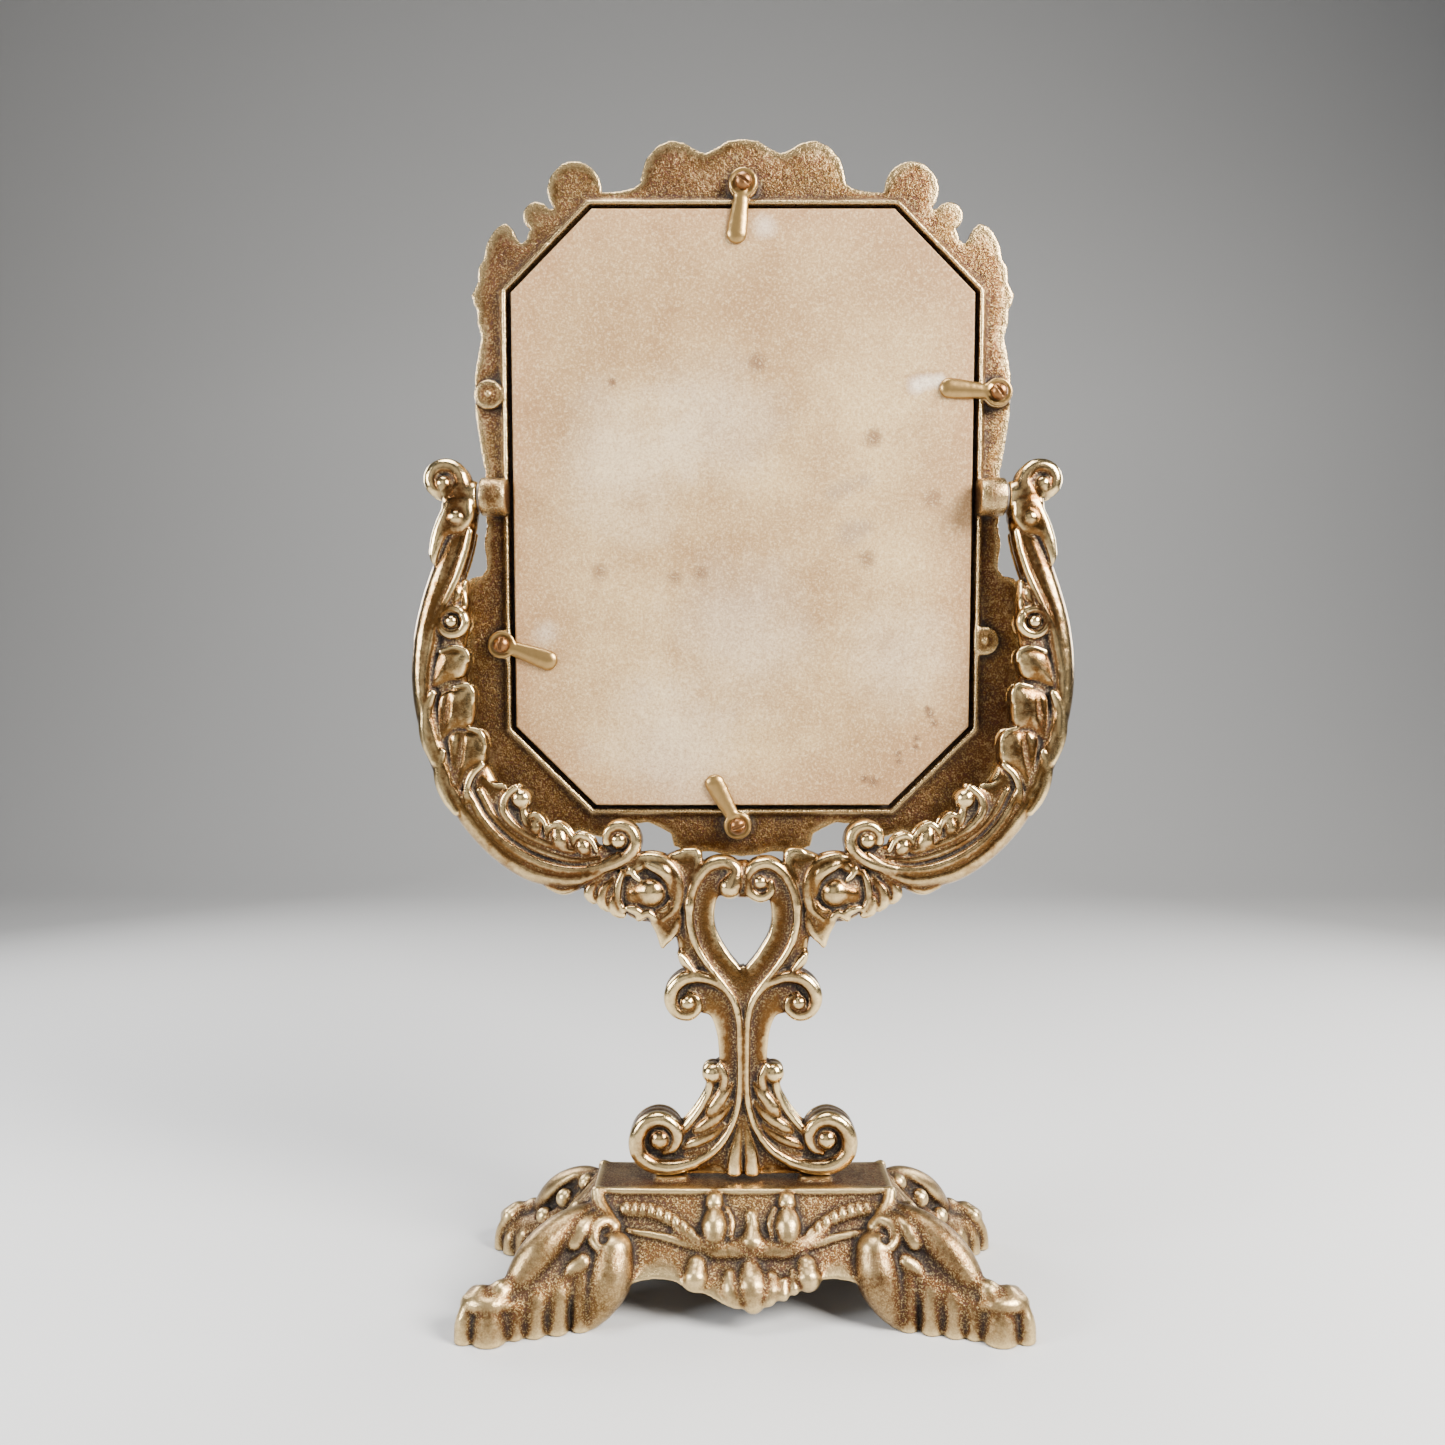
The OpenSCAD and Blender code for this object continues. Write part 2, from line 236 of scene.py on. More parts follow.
    def mesh(self, name, place=None):
        """A mesh object of the surface, in metres, with its hollows and ridges as attributes."""
        d, h = self.d, self.h
        inside = d < 0
        n = [s - 1 for s in d.shape]
        corners = [(i, j, k) for i in (0, 1) for j in (0, 1) for k in (0, 1)]
        count = sum(inside[i:n[0] + i, j:n[1] + j, k:n[2] + k].astype(np.int8) for i, j, k in corners)
        active = (count > 0) & (count < 8)
        cell = np.argwhere(active)
        index = np.full(active.shape, -1, np.int32)
        index[active] = np.arange(len(cell))
        total = np.zeros((len(cell), 3))
        hits = np.zeros((len(cell), 1))
        for a in corners:
            for axis in range(3):
                if a[axis]:
                    continue
                b = list(a)
                b[axis] = 1
                da = d[cell[:, 0] + a[0], cell[:, 1] + a[1], cell[:, 2] + a[2]]
                db = d[cell[:, 0] + b[0], cell[:, 1] + b[1], cell[:, 2] + b[2]]
                cross = (da < 0) != (db < 0)
                t = np.where(cross, da / np.where(cross, da - db, 1), 0)
                p = np.array(a, float)[None] + t[:, None] * np.eye(3)[axis][None]
                total += p * cross[:, None]
                hits += cross[:, None]
        verts = (cell + total / hits) * h + self.low
        quads = []
        for axis in range(3):
            u, v = [(1, 2), (2, 0), (0, 1)][axis]
            lo = [slice(1, -1)] * 3
            lo[axis] = slice(0, -1)
            hi = list(lo)
            hi[axis] = slice(1, None)
            first, second = inside[tuple(lo)], inside[tuple(hi)]
            for flip in (False, True):
                where = np.argwhere((first & ~second) if not flip else (~first & second))
                if not len(where):
                    continue
                base = where + 1
                base[:, axis] -= 1
                ring = []
                for du, dv in ((1, 1), (0, 1), (0, 0), (1, 0)):
                    c = base.copy()
                    c[:, u] -= du
                    c[:, v] -= dv
                    ring.append(index[c[:, 0], c[:, 1], c[:, 2]])
                quads.append(np.stack(ring[::-1] if flip else ring, 1))
        quads = np.vstack(quads)
        me = bpy.data.meshes.new(name)
        spot = (verts - self.low) / h
        first = np.clip(spot.astype(int), 0, np.array(d.shape) - 2)
        part = spot - first
        nearby = [(tuple((first + c).T), np.abs(1 - np.array(c) - part)) for c in corners]
        facts = {}
        for key, reach in (("fine", 0.9), ("wide", 2.8)):
            air = self.openness(reach)
            facts[key] = sum(air[at] * w[:, 0] * w[:, 1] * w[:, 2] for at, w in nearby)
        if place:
            verts = place(verts)
        me.vertices.add(len(verts))
        me.vertices.foreach_set("co", (verts * MM).astype(np.float32).ravel())
        me.loops.add(quads.size)
        me.loops.foreach_set("vertex_index", quads.astype(np.int32).ravel())
        me.polygons.add(len(quads))
        me.polygons.foreach_set("loop_start", np.arange(0, quads.size, 4, dtype=np.int32))
        me.polygons.foreach_set("use_smooth", np.ones(len(quads), bool))
        for key, values in facts.items():
            layer = me.attributes.new(key, "FLOAT", "POINT")
            layer.data.foreach_set("value", values.astype(np.float32))
        me.update(calc_edges=True)
        me.validate()
        return link(bpy.data.objects.new(name, me))


def tilted(verts):
    """Rows of (x, y, z) in the mirror's own frame, moved to the mirror's rest place, in millimetres."""
    c, s = math.cos(REST_TILT), math.sin(REST_TILT)
    x, y, z = verts[:, 0], verts[:, 1], verts[:, 2]
    return np.stack([x, y * c - z * s, PIVOT_Z + y * s + z * c], 1)


def link(ob):
    bpy.context.scene.collection.objects.link(ob)
    return ob


# 2-D distances for slabs


def disc_2d(x, z, cx, cz, r):
    return np.sqrt((x - cx) ** 2 + (z - cz) ** 2) - r


def octagon_2d(x, z, grow):
    """The glass's eight-sided outline, grown by grow."""
    ax, az = np.abs(x), np.abs(z - GLASS_MID)
    side = np.maximum(ax - GLASS_HALF_W - grow, az - GLASS_HALF_H - grow)
    corner = (ax + az - (GLASS_HALF_W + GLASS_HALF_H - GLASS_CUT)) / math.sqrt(2) - grow
    return np.maximum(side, corner)


def polygon_2d(x, z, points):
    """The exact distance to a closed outline, negative inside."""
    p = np.array(points, float)
    best = np.full(np.broadcast(x, z).shape, 1e9, np.float32)
    inside = np.zeros(best.shape, bool)
    for a, b in zip(p, np.roll(p, -1, 0)):
        e = b - a
        t = np.clip(((x - a[0]) * e[0] + (z - a[1]) * e[1]) / (e @ e + 1e-9), 0, 1)
        best = np.minimum(best, (x - a[0] - t * e[0]) ** 2 + (z - a[1] - t * e[1]) ** 2)
        crosses = ((a[1] > z) != (b[1] > z)) & (x < e[0] * (z - a[1]) / (e[1] + 1e-9) + a[0])
        inside ^= crosses
    return np.where(inside, -1, 1) * np.sqrt(best)


# ------------------------------------------------------------------ ornament

def volute(clay, centre, r0, r1, a0, turns, w0, w1, y, k=0.5, ball=0.0, lead=()):
    """A spiral from radius r0 at angle a0 to r1, its half width w0 to w1, with a ball at its heart."""
    n = max(6, int(abs(turns) * 14))
    pts = list(lead)
    for i in range(n + 1):
        t = i / n
        a = math.radians(a0 + 360 * turns * t)
        r = r0 + (r1 - r0) * t
        pts.append((centre[0] + r * math.cos(a), centre[1] + r * math.sin(a), w0 + (w1 - w0) * t, y))
    clay.stroke(pts, y, None, k)
    if ball:
        clay.ball(centre[0], centre[1], ball, y, k=k)


def leaf(clay, root, tip, width, fingers, y, lift=0.0, bend=0.0):
    """A fan of rounded fingers from root to tip. bend bows it sideways; lift raises the tips' depth."""
    rx, rz = root
    tx, tz = tip
    length = math.hypot(tx - rx, tz - rz)
    ux, uz = (tx - rx) / length, (tz - rz) / length
    nx, nz = -uz, ux
    r = width / (fingers + 0.6)
    for i in range(fingers):
        s = 2 * i / (fingers - 1) - 1
        far = length * (1 - 0.22 * abs(s)) - r * 0.7
        off = s * (width / 2 - r * 0.7)
        pts = []
        for t, wide, side in ((0.0, 0.55, 0.25), (0.35, 0.9, 0.7), (0.7, 1.0, 1.0), (1.0, 0.75, 1.05)):
            bow = bend * length * (t * (1 - t)) * 4
            sway = off * side + bow
            pts.append((rx + ux * far * t + nx * sway, rz + uz * far * t + nz * sway,
                        max(0.4, r * wide), y + lift * t - 0.5 * (1 - abs(s))))
        clay.stroke(pts, y, None, 0.35)


def rose(clay, cx, cz, r, y, turn, dep):
    """A cabbage rose: a small ball in rings of crescent petals, each ring higher than the one round it."""
    clay.ball(cx, cz, r * 0.97, y - 1.6, dep=dep, k=0.6)
    rings = ((0.80, 0.20, 1.0, 4, 104), (0.55, 0.19, 2.4, 3, 128), (0.28, 0.17, 3.4, 2, 200))
    for ring, (rad, w, out, n, arc) in enumerate(rings):
        for i in range(n):
            a0 = turn + 360 * i / n + 47 * ring
            pts = []
            for t in (0, 0.25, 0.5, 0.75, 1):
                a = math.radians(a0 + arc * t)
                swell = 1 + 0.10 * math.sin(math.pi * t)
                pts.append((cx + rad * r * swell * math.cos(a), cz + rad * r * swell * math.sin(a),
                            r * w * (0.55 + 0.5 * math.sin(math.pi * t)), y + out * (r / 12)))
            clay.stroke(pts, y, None, 0.25)
    clay.ball(cx + r * 0.06, cz - r * 0.05, r * 0.2, y + 3.6 * r / 12, k=0.3)


def stem(c):
    """One side of the heart-topped stem and its foot."""
    # Sunk flat panels, with a raised wire along their inner edges
    heart = [(0.6, 103), (0.6, 118.4), (-5.2, 127), (-9.8, 135), (-10.8, 142), (-9.4, 148.4), (-6, 150),
             (-2, 153), (-1.5, 160), (-6, 163), (-12, 161.5), (-18, 156.4), (-21.6, 148), (-22.8, 138),
             (-22, 129), (-15, 120), (-7, 110)]
    c.pillow(heart, 3.3, 0.7, 5)
    c.pillow([(0.6, 118), (-3, 116), (-12, 117.5), (-18.5, 117), (-22, 110), (-17, 105), (-12.6, 103.4),
              (-10.2, 97.8), (-9.2, 90), (-9, 80), (-12, 73.4), (-16.6, 66.4), (-23, 59), (-26, 50),
              (-14, 45.4), (0.6, 43.5)], 3.2, 0.5, 4)
    c.stroke([(-20.6, 147, 2.5), (-20.8, 138, 2.6), (-18.2, 129.6, 2.5), (-12.8, 121.2, 2.2),
              (-7.2, 114.2, 1.9), (-3.2, 107.6, 1.7), (-1.7, 100, 1.6), (-1.4, 90, 1.6), (-1.5, 78, 1.6),
              (-2.6, 69, 1.8), (-6, 60.2, 2.2), (-11.6, 53.4, 2.6), (-19, 48.6, 3), (-27, 47, 3.3)],
             0, 4.4, 0.9)
    wire = [(-20.4, 146, 1.6), (-20, 138, 1.5), (-17.4, 129.6, 1.35), (-12, 121.4, 1.25),
            (-6.2, 114.2, 1.2), (-2.6, 107.6, 1.15), (-1.4, 100, 1.15), (-1.15, 90, 1.1), (-1.2, 78, 1.1),
            (-2.2, 69, 1.2), (-5.4, 60.4, 1.4), (-11, 53.4, 1.7), (-18.6, 48.7, 2.2)]
    c.stroke(wire, -4.5, None, 0.8)
    foot = [(-18.6, 48.7, 2.3, -4.4), (-26.6, 46.9, 2.9, -4.2), (-34, 47.8, 3.2, -4), (-39, 51.8, 3.3, -4),
            (-40, 57.4, 3.2, -4), (-37.4, 62.6, 3.1, -4), (-32.2, 65, 3, -4), (-27.2, 63.2, 2.7, -4.2),
            (-24.8, 58.8, 2.4, -4.4), (-26.2, 54.6, 2, -4.4), (-29.6, 52.8, 1.6, -4)]
    c.stroke([p[:3] for p in foot], 0, 4.6, 0.8)
    c.stroke(foot, k=0.5)
    c.ball(-31.5, 56.8, 10, 0, dep=3.8, k=0.6)
    c.ball(-31.4, 57.4, 4.4, -3.2, k=0.4)
    # The scroll at the top of the heart: a fat tongue on one side, a curl round a ball on the other
    if c.flip > 0:
        c.stroke([(-20.4, 145, 1.9, -4.2), (-19.4, 151, 2.2, -3.8), (-16.4, 157, 2.5, -3.4),
                  (-11.4, 160.9, 2.7, -3.2), (-6.2, 161.2, 2.8, -3), (-3, 158.6, 3.2, -3),
                  (-3.6, 154.8, 4.1, -3.2), (-4.9, 152.4, 4.7, -3.2)], k=1.2)
    else:
        c.stroke([(-20.4, 145, 1.9, -4.2), (-19.2, 151, 2.2, -3.8), (-15.8, 157.2, 2.5, -3.4),
                  (-10.6, 161, 2.6, -3.4), (-5, 160.4, 2.6, -3.4), (-1.9, 156.4, 2.4, -3.4),
                  (-2.6, 151, 2.3, -3.4), (-6.6, 148.4, 2.1, -3.6), (-10.2, 150.4, 1.9, -3.8),
                  (-10.2, 154, 1.7, -3.8)], k=0.5)
        c.ball(-6.4, 154.2, 3, -3.6, k=0.4)
        c.ball(-6.2, 154.4, 6, 0, dep=3.4, k=0.5)
    c.stroke([(-1, 149.5, 1.8), (-1, 160, 2.4)], 0, 4.2, 0.6)
    # The side curl with its small bud
    curl = [(-1.5, 102, 1.4), (-3.4, 109.2, 1.5), (-7, 114.2, 1.8), (-11.8, 117.2, 2.2),
            (-17.4, 118.6, 2.6), (-22.8, 117.5, 2.8), (-26.5, 113.8, 2.8), (-27.2, 109.2, 2.7),
            (-24.8, 105.2, 2.5), (-20.6, 104, 2.3), (-17.4, 106.4, 2), (-17.6, 110, 1.7),
            (-20.2, 111.6, 1.4)]
    c.stroke(curl, 0, 4.4, 0.8)
    c.stroke(curl, -3.7, None, 0.5)
    c.ball(-21, 108.6, 3.1, -3.6, k=0.3)
    c.ball(-21.6, 111, 6.4, 0, dep=3.4, k=0.5)
    c.stroke([(-19, 121, 1.8), (-22, 124.4, 2.4), (-23.6, 127, 1.4)], -1.6, 4.2, 0.6)
    c.stroke([(-23.8, 133, 1.6), (-22, 127.6, 2.2), (-17.6, 123, 2.4)], 0, 3.6, 0.8)
    # The lower bud on its stalk, and the fat lobes of the leaf over the foot
    c.ball(-11.4, 81.8, 4.2, -2, k=0.5)
    c.stroke([(-8.8, 84.6, 1.6), (-7.2, 80.6, 1.8), (-7.8, 76, 1.7), (-10.2, 72.8, 1.4)], -3.8, None, 0.4)
    c.stroke([(-12.4, 78, 1.5), (-13.6, 73.4, 1.5), (-17.4, 67, 1.6), (-21.8, 61.6, 1.7),
              (-24.8, 58, 1.5)], -3.4, None, 0.6)
    for lobe in ([(-4.4, 78, 1.3), (-8, 73.4, 2.8), (-11, 69, 3.1), (-12.4, 66.4, 2.3)],
                 [(-4.6, 71, 1.5), (-9.6, 66.2, 2.9), (-14.6, 62.4, 2.9), (-17.6, 60.6, 1.9)],
                 [(-7.6, 62.4, 1.7), (-12.8, 58.8, 2.7), (-18.4, 56, 2.6), (-21.8, 54.6, 1.6)],
                 [(-11.6, 55.8, 1.4), (-16, 53.2, 2), (-21, 51.4, 1.7)]):
        c.stroke(lobe, -3.3, None, 0.3)
    c.ball(-11, 76, 3, 0, dep=3.4, k=0.8)
    c.ball(-24, 136, 3.4, 0, dep=3.6, k=0.8)
    # The fan between the two feet
    c.pillow([(-4, 53), (-5.4, 58), (-2.4, 63), (0.6, 67), (0.6, 43), (-30, 43), (-20, 47.6),
              (-10, 51.4)], 3.4)
    c.stroke([(-0.6, 66, 0.9), (-1.8, 58, 2), (-3, 50.6, 2.9), (-3.4, 43, 3.3)], -3.5, None, 0.3)


def arm(c):
    """One swept arm, from the hook over the pivot to the scroll by the rose."""
    band = [(-105.4, 294, 3.4), (-108, 285, 5.4), (-111.4, 275.4, 6.2), (-115.2, 264.6, 6.2),
            (-118.8, 252.6, 5.8), (-121, 240, 5.2), (-121.4, 227, 4.7), (-119.2, 213.6, 4.5),
            (-115.2, 200.8, 4.5), (-110, 189, 4.5), (-102.8, 177.4, 4.5), (-93.4, 167.2, 4.5),
            (-82.8, 159.6, 4.4), (-74, 156.4, 4.2), (-65, 155.2, 3.9), (-57.4, 156.6, 3.4),
            (-50.4, 160.4, 2.6)]
    c.stroke(band, 0, 5.9, 0.8)
    web = [(-106, 268, 1.6), (-109, 256, 5), (-111.6, 243, 6), (-112, 230, 7), (-110.6, 217, 7.6),
           (-107, 203, 7.8), (-101, 191, 7), (-93.4, 181, 7), (-83.4, 173, 7), (-71, 167.4, 5.6),
           (-60, 164.6, 4.4), (-52, 163.5, 3)]
    c.stroke(web, 0, 3.6, 0.8)
    c.pillow([(-101, 194), (-95, 191.6), (-90, 191), (-86, 182), (-80, 176), (-70, 172), (-58, 169),
              (-49, 165), (-50, 156), (-70, 156), (-90, 166), (-104, 182)], 3.2)
    # The hook over the pivot
    c.stroke([(-105, 290, 3.4), (-104.8, 297, 3.1), (-106.4, 304, 3), (-110, 309, 3)], 0, 5.4, 0.6)
    c.ball(-113.8, 306.4, 7.8, 0, dep=3.6, k=0.6)
    volute(c, (-113.8, 306.2), 7.1, 2.4, -35, 1.1, 3.5, 2.9, -2.7, k=0.4, lead=[(-105.6, 293, 3, -2.6)])
    c.ball(-113.6, 305.2, 3.1, -4, k=0.4)
    # The leaf cap and its bud
    c.pillow([(-103, 299), (-108.4, 300.2), (-112.6, 298), (-115.6, 292), (-118.2, 284), (-118.8, 277.4),
              (-116.6, 274), (-114.4, 279.4), (-111.8, 284.4), (-108, 285.4), (-104.6, 287.4),
              (-101.8, 293)], 5.2, 2, 4.4, k=0.2, soft=1.2)
    c.stroke([(-111.4, 297, 1.4), (-114, 290.6, 2), (-116, 284, 2), (-117, 278.4, 1.4)], -4.9, None, 1.0)
    c.ball(-108.4, 292, 3.4, -5, k=0.5)
    # A fine ridge down the inner side of the band
    c.stroke([(-103.4, 287, 1.1), (-105, 279.6, 1.2), (-108.4, 269.6, 1.3), (-113, 259.6, 1.3),
              (-117, 251, 1.2), (-119, 243, 1.0), (-120.6, 234, 0.8)], -4.8, None, 0.8)
    # Ring and ball, with two leaflets over it
    volute(c, (-110.2, 252.8), 5.0, 4.8, 60, 0.92, 1.9, 1.9, -3.9, k=0.45)
    c.ball(-110.4, 252.8, 2.5, -4.6, k=0.4)
    c.stroke([(-110.4, 258.6, 1.9), (-108.6, 263.6, 2.2), (-108.4, 267.4, 1)], -3, None, 0.5)
    c.stroke([(-106.4, 256.6, 1.5), (-105.8, 260.6, 1.4), (-106, 263.6, 0.8)], -2.6, None, 0.5)
    # Three broad shell leaves, each highest at its lip and sinking toward the root of the next
    c.pillow([(-115, 241.4), (-109.4, 243), (-104.8, 241.8), (-104, 238.4), (-105, 233.8), (-107, 230.8),
              (-111.6, 229.4), (-116.4, 227.4), (-119.4, 226.8), (-118, 234)],
             2.9, 3.0, 6.4, k=0.3, soft=1.4, slope=(0.04, 0.04))
    c.pillow([(-115.4, 225), (-110, 228), (-104.4, 228.8), (-102, 226.4), (-101.6, 220.4), (-102.2, 214.4),
              (-104.2, 211.4), (-109, 210.6), (-113, 207.4), (-116, 203.4), (-116.8, 211), (-116.6, 219)],
             2.7, 3.2, 6.6, k=0.3, soft=1.4, slope=(0.06, 0.02))
    c.pillow([(-112, 209.6), (-108.4, 212.2), (-104, 212.2), (-99.4, 210.8), (-97.4, 206.4),
              (-97.2, 200.6), (-99.6, 197), (-103.6, 193), (-106.2, 187.6), (-108.4, 182), (-111, 187.6),
              (-111.8, 196), (-112.2, 203)], 2.7, 3.2, 6.2, k=0.3, soft=1.4, slope=(0.05, 0.02))
    # Slim lobes outside them
    for rows in ([(-117.4, 225.6, 1.5), (-119.6, 220.4, 2.6), (-120.2, 213, 2.9), (-119.2, 206.4, 2.5),
                  (-116.8, 199.6, 1.4)], [(-113.4, 203.4, 1.3), (-114.8, 198, 2.5), (-114, 191.6, 2.7),
                                          (-111.6, 185.6, 2.3), (-108.4, 180.6, 1.4)]):
        c.stroke([(px, pz, r, r - 6.1) for px, pz, r in rows], k=0.4)
    # Lips along the top of each leaf, a soft valley down the lower two, and a fold under the last
    for rows in ([(-114.6, 241.4, 0.9), (-109.4, 243, 1.1), (-105, 241.6, 1.1), (-104, 238, 0.8)],
                 [(-109.4, 228, 0.8), (-104.6, 228.8, 1.1), (-102.4, 226.2, 1.0), (-102, 222.6, 0.6)],
                 [(-104, 212.4, 0.8), (-99.6, 211, 1.1), (-97.8, 207.4, 0.8), (-97.6, 204, 0.5)]):
        c.stroke(rows, -4.4, None, 0.5)
    c.stroke([(-111.8, 225, 0.8), (-112.4, 217.6, 1.2), (-113.8, 209, 0.9)], -6.3, carve=True, k=1.8)
    c.stroke([(-106, 210.6, 0.8), (-107.2, 202, 1.2), (-108.8, 192, 0.9)], -6.3, carve=True, k=1.8)
    c.stroke([(-98.6, 198.6, 1.1), (-102.6, 194.6, 1.5), (-104.4, 189.4, 1.4), (-104.6, 184, 1.1)],
             -4.6, None, 0.4)
    # Three ridges that run out along the foot of the curve
    c.stroke([(-103.6, 187.6, 1.4), (-98.3, 178.2, 1.7), (-90.2, 169.2, 1.9), (-78.6, 162, 1.9),
              (-66, 158.8, 1.8), (-55.4, 160, 1.5), (-47, 164.6, 1.3)], -4.2, None, 1.4)
    c.stroke([(-99.8, 189, 1.2), (-94.8, 180, 1.5), (-86.6, 171.8, 1.6), (-76, 166, 1.6),
              (-64.4, 162.6, 1.4), (-54.6, 163, 1.1)], -3.6, None, 1.2)
    c.stroke([(-86, 190, 1.5), (-89.8, 186.6, 1.7), (-90.8, 182, 1.8), (-88.4, 177.4, 1.9),
              (-82.6, 172.6, 1.8), (-75, 169, 1.6), (-65, 166, 1.3)], -3.7, None, 1.0)
    # The berry, and a row of curled leaves behind it
    c.ball(-84.2, 185.6, 4.1, -2.2, k=0.5)
    c.stroke([(-83.4, 182, 1.6), (-82.4, 177.6, 1.8), (-80.6, 173.4, 1.4)], -3.4, None, 0.5)
    for bud, rim in (([(-77.6, 170.4, 2), (-79, 174.4, 3.1), (-78.2, 177.8, 2.4)], [(-81.8, 173, 0.9),
                                                                                    (-82, 177.4, 1.1),
                                                                                    (-79, 180, 1.1),
                                                                                    (-75.6, 177.4, 1),
                                                                                    (-74.4, 173, 0.9)]),
                     ([(-66.6, 166, 2.4), (-69.4, 170, 3.8), (-70, 173, 3)], [(-72.8, 168.4, 0.9),
                                                                              (-74, 172.8, 1.1),
                                                                              (-71.4, 176.2, 1.2),
                                                                              (-66.8, 174, 1),
                                                                              (-64.2, 169, 0.9)]),
                     ([(-58.8, 164.6, 2.2), (-60.6, 167.4, 3.2), (-61.2, 169.2, 2.5)],
                      [(-63.6, 165.8, 0.9), (-64.4, 169.4, 1.1), (-62, 172, 1.1), (-57.8, 170.4, 1),
                       (-55.4, 166, 0.9)])):
        c.stroke(bud, 0, 3.5, 0.5)
        c.stroke(bud, -2.3, None, 0.6)
        c.stroke(rim, -3.7, None, 0.5)
    c.stroke([(-74, 152.6, 1.5), (-68.6, 150.6, 1.8), (-63, 152, 1.5)], 0, 3.4, 0.8)
    # The end scroll
    end = [(-57, 159, 2.4), (-49, 161, 2.5), (-43, 164.6, 2.6), (-40.8, 169.4, 2.6), (-42.6, 173.8, 2.5),
           (-47, 175.4, 2.5), (-50.8, 173.4, 2.3), (-51.4, 169.6, 2)]
    c.stroke(end, 0, 5.0, 0.6)
    c.stroke(end, -3.7, None, 0.4)
    c.ball(-47, 170, 3.5, -3.6, k=0.3)
    c.ball(-47.4, 168.6, 5.6, 0, dep=3.4, k=0.5)


def rose_spray(c):
    """A cabbage rose with a leaf above, a leaf below and a ruffle of rolled leaves beside it."""
    c.ball(-36.4, 151, 12.4, 0, dep=4.6, k=0.8)
    c.ball(-49.4, 156.4, 4, 0, dep=3.8, k=0.8)
    c.stroke([(-26.4, 145, 4), (-23.4, 151, 4.4), (-21.6, 158, 3)], 0, 3.6, 0.8)
    c.stroke([(-46, 148, 5), (-52, 150.6, 4.6), (-57.6, 152.4, 3)], 0, 3.2, 0.8)
    # A smooth heart that sinks toward the far side, hooded by one broad petal on the stem's side
    c.ball(-34.7, 150.3, 6.3, -1.4, dep=6.4, k=0.4)
    c.stroke([(-40.4, 149.4, 5.0), (-37, 150.4, 5.6)], -1, 4.6, 1.8)
    c.stroke([(-43.4, 160.4, 1.4, -3.6), (-37.6, 163.4, 1.9, -3.8), (-30.6, 162.4, 2.2, -3.9),
              (-25.6, 157.6, 2.4, -3.8), (-24.2, 150.6, 2.4, -3.7), (-25.8, 144.2, 2.1, -3.5),
              (-30.2, 140, 1.7, -3.2)], k=0.7)
    c.stroke([(-38, 161.4, 1.4, -4), (-34, 160.6, 2.5, -4.4), (-29.8, 158.2, 2.9, -4.6),
              (-27.6, 154.4, 2.3, -4.2), (-27, 149.6, 1.5, -3.6)], k=0.9)
    # A rounded petal over its shoulder, a fold, and thin upright petals on the far side
    c.stroke([(-43, 158.2, 2.0), (-39.4, 160.2, 2.4)], -3.6, None, 0.5)
    c.stroke([(-42.4, 159.2, 1.1), (-41, 156.8, 1.3), (-39.2, 155.2, 0.9)], -5.2, None, 0.4)
    c.stroke([(-45.4, 158, 1.3), (-47.2, 153, 1.6), (-47.4, 147.4, 1.5), (-45.4, 143.4, 1.2)],
             -3.7, None, 0.4)
    c.stroke([(-49.6, 153.6, 1.1), (-50.4, 149, 1.5), (-49, 144.4, 1.2)], -2.6, None, 0.4)
    # Small rolled bits under the heart
    c.stroke([(-43.6, 144.4, 1.3), (-40.6, 143.6, 1.9), (-38.2, 141.6, 1.4)], -3.9, None, 0.35)
    c.stroke([(-39.4, 140.4, 1.4), (-36, 142.6, 1.8), (-33.6, 140.4, 1.4)], -3.7, None, 0.35)
    c.stroke([(-32.4, 143.2, 1.0), (-29, 144, 1.6), (-27.4, 147, 1.1)], -3.7, None, 0.35)
    # Leaves with a turned-up rim on one side
    c.pillow([(-31, 162), (-26, 165.6), (-16.8, 166.6), (-16, 162.4), (-19, 156), (-23.4, 151),
              (-28.4, 156)], 3.2, 1.4, 3)
    c.stroke([(-22.4, 166, 1), (-17.6, 165.4, 1.5), (-17.4, 160.8, 1.8), (-19.6, 156, 1.9),
              (-22.2, 152.4, 1.4)], -3.4, None, 0.8)
    c.pillow([(-35.5, 141), (-33, 134.4), (-30.6, 128.6), (-27.4, 133), (-24, 135.6), (-22.8, 142),
              (-28, 146)], 3, 1.4, 3)
    c.stroke([(-30.5, 130.4, 0.9), (-27, 134.2, 1.5), (-25, 138.6, 1.7), (-24.6, 143, 1.2)],
             -3.2, None, 0.8)
    for roll in ([(-52.4, 157, 1.6), (-56.6, 153.4, 2.3), (-58.2, 149.6, 2.3), (-56.6, 147, 1.5)],
                 [(-49.4, 155, 1.6), (-52.8, 151.2, 2.4), (-53.4, 146.8, 2.3), (-51.4, 144, 1.4)],
                 [(-47.4, 151, 1.6), (-49.2, 147, 2.3), (-48.2, 143, 2.1), (-45.6, 141.6, 1.4)]):
        c.stroke(roll, -2.8, None, 0.3)


